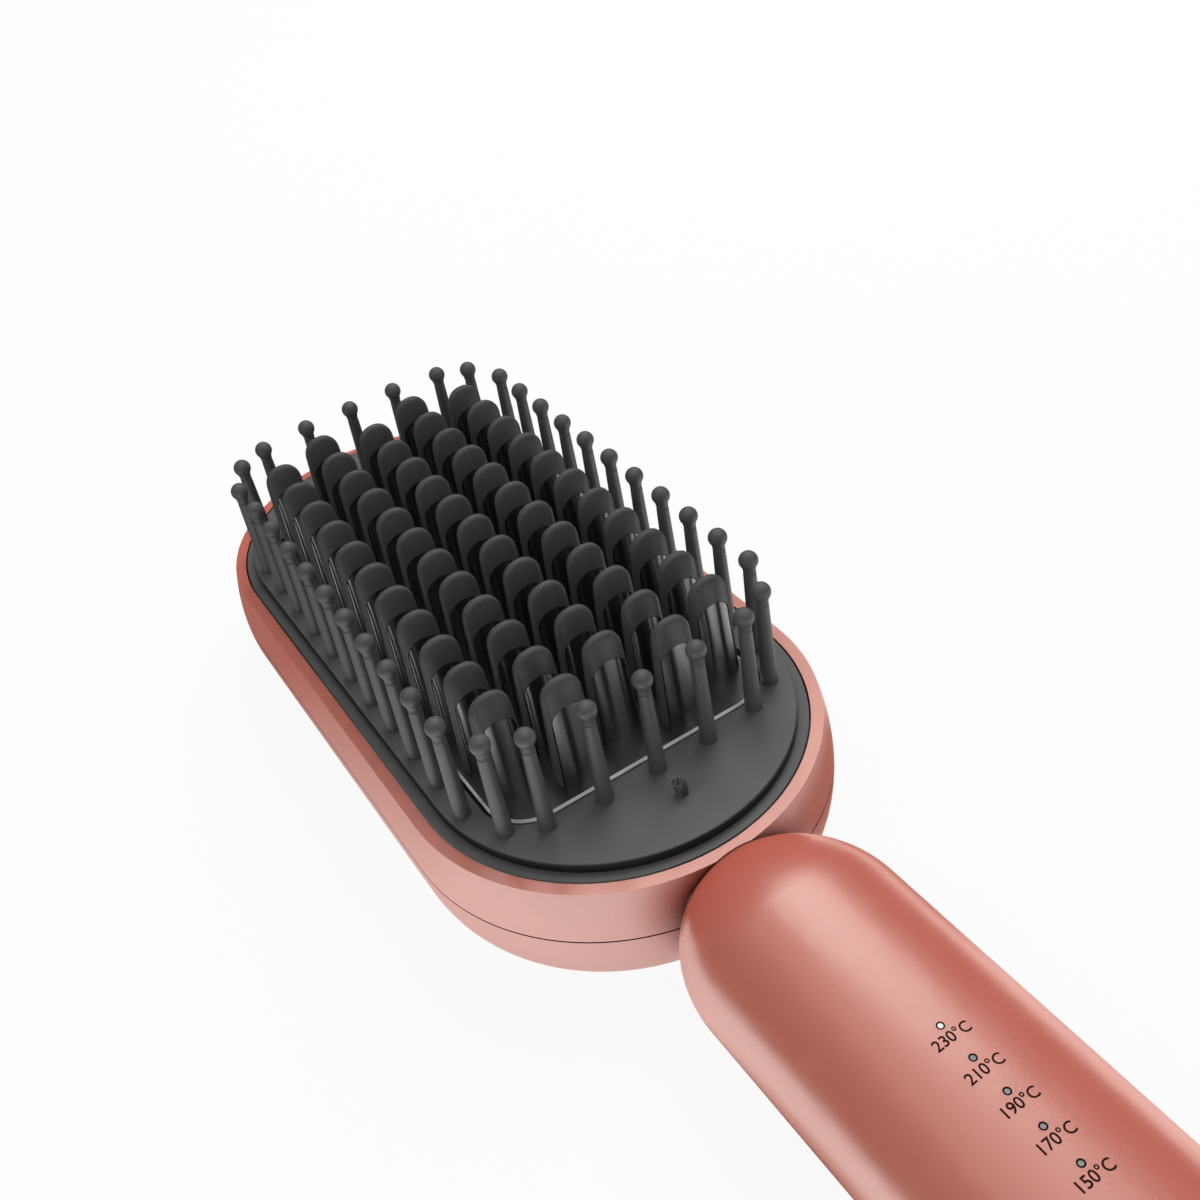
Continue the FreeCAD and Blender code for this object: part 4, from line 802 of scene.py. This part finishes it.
def buildLabels(spec):
    def onHandle(x, y):
        return handleSkin(x)

    steps = spec["ringSteps"]
    around = np.linspace(0, 2 * math.pi, steps, endpoint=False)
    ringFaces = quadGrid(2, steps, closedCols=True).tolist()
    for i, words in enumerate(spec["words"]):
        y = (firstLight - i * lightPitch) / mm
        mesh = textMesh(words, spec)
        points, faces = meshArrays(mesh)
        bpy.data.meshes.remove(mesh)
        points = points + (spec["aside"], y - spec["behind"], 0)
        addPrint("figure%d" % (i + 1), points, faces, "printInk", onHandle, "brush")
        ring = arcBand(spec["ringIn"], spec["ringOut"], around) + (0, y, 0)
        addPrint("lightRing%d" % (i + 1), ring, ringFaces, "ringInk", onHandle, "brush")
        seat = arcBand(spec["ringOut"], spec["seatOut"], around) + (0, y, 0)
        addPrint("lightSeat%d" % (i + 1), seat, ringFaces, "coralPaint", onHandle, "brush")
    print("labels:", len(spec["words"]))


buildLabels(labels)


# Signs on the three keys: ring with a stem, plus, minus
keySigns = {
    "arm": 1.7, "stroke": 0.24, "barSteps": 9, "powerRadius": 1.55, "powerGap": 0.62, "ringSteps": 40,
    "stem": 1.6, "stemDrop": 0.05, "crown": 0.45, "keyRadius": 4.5,
}


def bar(length, width, steps, alongX):
    # two long edges, cut into steps so that the bar follows the crown
    along = np.linspace(-length / 2, length / 2, steps)
    flat = np.stack([np.column_stack([along, 0 * along + edge]) for edge in (-width / 2, width / 2)])
    if not alongX:
        flat = flat[..., ::-1]
    return np.concatenate([flat, 0 * flat[..., :1]], -1).reshape(-1, 3)


def buildSigns(spec):
    # radius of the ball that a key's crown is cut from
    curve = (spec["keyRadius"] ** 2 + spec["crown"] ** 2) / (2 * spec["crown"])
    stroke, steps = spec["stroke"], spec["barSteps"]
    sweep = np.linspace(math.pi / 2 + spec["powerGap"], 2.5 * math.pi - spec["powerGap"], spec["ringSteps"])
    ring = arcBand(spec["powerRadius"] - stroke, spec["powerRadius"] + stroke, sweep)
    stem = bar(spec["stem"], 2 * stroke, steps, False) + (0, spec["powerRadius"] - spec["stemDrop"], 0)
    across = bar(2 * spec["arm"], 2 * stroke, steps, True)
    half = bar(spec["arm"] - stroke, 2 * stroke, steps, False)
    halfUp = np.array([0, (spec["arm"] + stroke) / 2, 0])
    ringFaces, barFaces = quadGrid(2, spec["ringSteps"]), quadGrid(2, steps)
    signs = [
        ("powerRing", "power_button", "power_key", ring, ringFaces),
        ("powerStem", "power_button", "power_key", stem, barFaces),
        ("plusAcross", "temperature_up_button", "up_key", across, barFaces),
        ("plusUp", "temperature_up_button", "up_key", half + halfUp, barFaces),
        ("plusDown", "temperature_up_button", "up_key", half - halfUp, barFaces),
        ("minusAcross", "temperature_down_button", "down_key", across, barFaces),
    ]
    for name, node, body, points, faces in signs:
        middle = middleOf(node) / mm
        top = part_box(node)[1][2] / mm

        def onKey(x, y):
            return top - curve + np.sqrt(curve ** 2 - x ** 2 - (y - middle.y) ** 2)

        addPrint(name, points + (0, middle.y, 0), faces.tolist(), "keyPrint", onKey, body)
    print("signs:", len(signs))


buildSigns(keySigns)


# Studio: pale cove floor, soft boxes, graded surroundings
studio = {
    "floorRadius": 1.6, "coveRadius": 0.25, "flatRings": (0, 0.3, 0.8), "coveSteps": 10, "floorSides": 96,
    "floorDrop": 0.00005,
    "floor": (0.86, 0.86, 0.86), "floorShade": 0.985, "paperScale": 8, "floorRoughness": 0.9, "floorGlow": 0.92,
    "farFade": (0.045, 0.12), "sideFade": (0.07, 0.26), "leastGlow": 0.08,
    # painted shadows on the floor by the neck and under the nose, seen in mirrored rays only
    "nookShadows": [
        dict(place=(0.036, 0.014), fade=(0.010, 0.024)),
        dict(place=(0.043, 0.028), fade=(0.005, 0.014)),
        dict(place=(0.004, -0.022), fade=(0.020, 0.036)),
    ],
    "boxes": [
        dict(name="keyBox", place=(35, 52), distance=0.95, size=(0.82, 0.32), radiance=0.84, mirrored=True, tilt=38),
        dict(name="keyWash", place=(52, 50), distance=0.95, size=(0.8, 0.8), radiance=3.5, mirrored=False),
        dict(name="frontWash", place=(-100, 36), distance=1.0, size=(0.8, 0.8), radiance=1.1, mirrored=False),
        dict(name="frontBox", place=(150, 48), distance=1.0, size=(0.45, 0.45), radiance=0.6, mirrored=True),
    ],
    "aimShare": 0.6, "aimHeight": 0.02,
    "dome": 0.43,
    "sky": ((0.78, 0.05), (0.86, 0.11), (0.92, 0.34), (1.0, 0.40)),
}


def makeFloorMaterial(spec):
    mat, tree, shader = newMaterial("floorPaper")
    coords = objectCoords(tree)
    paper = remap(tree, noiseOn(tree, coords, spec["paperScale"]), 0, 1)
    shade = tuple(c * spec["floorShade"] for c in spec["floor"])
    tree.links.new(mixColour(tree, paper, spec["floor"], shade), shader.inputs["Base Color"])
    setSockets(shader, {"Roughness": spec["floorRoughness"], "Specular IOR Level": 0.0})
    glow = tree.nodes.new("ShaderNodeEmission")
    path = tree.nodes.new("ShaderNodeLightPath")
    # mirrored rays find the floor darker past the head and away to the sides,
    # and painted shadows darken it by the right of the neck and below the handle's nose
    least = spec["leastGlow"]
    aside = calc(tree, "ABSOLUTE", axisOf(tree, coords, "X"))
    fade = calc(tree, "MULTIPLY", remap(tree, axisOf(tree, coords, "Y"), 1, least, *spec["farFade"]),
                remap(tree, aside, 1, least, *spec["sideFade"]))
    for nookShadow in spec["nookShadows"]:
        away = addNode(tree, "ShaderNodeVectorMath", operation="DISTANCE")
        tree.links.new(coords, away.inputs[0])
        away.inputs[1].default_value = (*nookShadow["place"], 0)
        fade = calc(tree, "MULTIPLY", fade, remap(tree, away.outputs["Value"], least, 1, *nookShadow["fade"]))
    tone = addNode(tree, "ShaderNodeMix", data_type="FLOAT")
    for index, value in ((0, path.outputs["Is Glossy Ray"]), (2, 1), (3, fade)):
        plug(tree, value, tone.inputs[index])
    tree.links.new(tone.outputs[0], glow.inputs["Strength"])
    # seen or mirrored, the floor mostly glows; as a source of light it is plain paper
    seen = path.outputs["Is Camera Ray"]
    for key in ("Is Glossy Ray", "Is Transmission Ray"):
        seen = calc(tree, "MAXIMUM", seen, path.outputs[key])
    mix = tree.nodes.new("ShaderNodeMixShader")
    parts = calc(tree, "MULTIPLY", seen, spec["floorGlow"]), shader.outputs[0], glow.outputs[0]
    for socket, part in zip(mix.inputs, parts):
        tree.links.new(part, socket)
    tree.links.new(mix.outputs[0], tree.nodes["Material Output"].inputs["Surface"])
    return mat


def buildFloor(spec):
    # disc that curls up at its rim: flat radius, then a quarter round
    curl = np.linspace(0, math.pi / 2, spec["coveSteps"])
    r = np.concatenate([spec["flatRings"], spec["floorRadius"] + spec["coveRadius"] * np.sin(curl)])
    z = np.concatenate([[0] * len(spec["flatRings"]), spec["coveRadius"] * (1 - np.cos(curl))]) - spec["floorDrop"]
    points, faces = lathe(np.column_stack([r, z]), spec["floorSides"])
    mesh = bpy.data.meshes.new("floor")
    mesh.from_pydata(points.reshape(-1, 3).tolist(), [], faces.tolist())
    work = bmesh.new()
    work.from_mesh(mesh)
    bmesh.ops.remove_doubles(work, verts=work.verts, dist=weldGap)
    turnUp(work)
    work.to_mesh(mesh)
    work.free()
    mesh.shade_smooth()
    mesh.materials.append(makeFloorMaterial(spec))
    obj = bpy.data.objects.new("floor", mesh)
    obj.visible_shadow = False  # light from the surroundings also comes from below, as off a white table
    scene.collection.objects.link(obj)


def addSoftBox(target, name, place, distance, size, radiance, mirrored, tilt=0):
    # even oval facing the target: power = radiance x pi x area
    turn, lift = (math.radians(v) for v in place)
    aim = Vector((math.sin(turn) * math.cos(lift), math.cos(turn) * math.cos(lift), math.sin(lift)))
    data = bpy.data.lights.new(name, "AREA")
    data.shape = "ELLIPSE"
    data.size, data.size_y = size
    area = math.pi * size[0] * size[1] / 4
    data.energy = radiance * math.pi * area
    obj = bpy.data.objects.new(name, data)
    face = aim.to_track_quat("Z", "Y").to_matrix().to_4x4() @ Matrix.Rotation(math.radians(tilt), 4, "Z")
    obj.matrix_world = Matrix.Translation(target + aim * distance) @ face
    obj.visible_glossy = mirrored
    scene.collection.objects.link(obj)


def buildSky(spec):
    # even dome for matt light, graded dome for mirrored rays, plain white behind the floor
    world = bpy.data.worlds.new("studio")
    scene.world = world
    world.use_nodes = True
    tree = world.node_tree
    coords = tree.nodes.new("ShaderNodeTexCoord")
    height = remap(tree, axisOf(tree, coords.outputs["Generated"], "Z"), 0, 1, -1, 1)
    ramp = tree.nodes.new("ShaderNodeValToRGB")
    tree.links.new(height, ramp.inputs["Fac"])
    stops = ramp.color_ramp.elements
    while len(stops) < len(spec["sky"]):
        stops.new(0.5)
    for stop, (place, level) in zip(stops, spec["sky"]):
        stop.position = place
        stop.color = (level, level, level, 1)
    path = tree.nodes.new("ShaderNodeLightPath")
    dome = mixColour(tree, path.outputs["Is Glossy Ray"], (spec["dome"],) * 3, ramp.outputs["Color"])
    tree.links.new(mixColour(tree, path.outputs["Is Camera Ray"], dome, (1, 1, 1)),
                   tree.nodes["Background"].inputs["Color"])


buildFloor(studio)
buildSky(studio)
lightAim = Vector((0, headY * studio["aimShare"], studio["aimHeight"]))
for box in studio["boxes"]:
    addSoftBox(lightAim, **box)
print("studio lit")
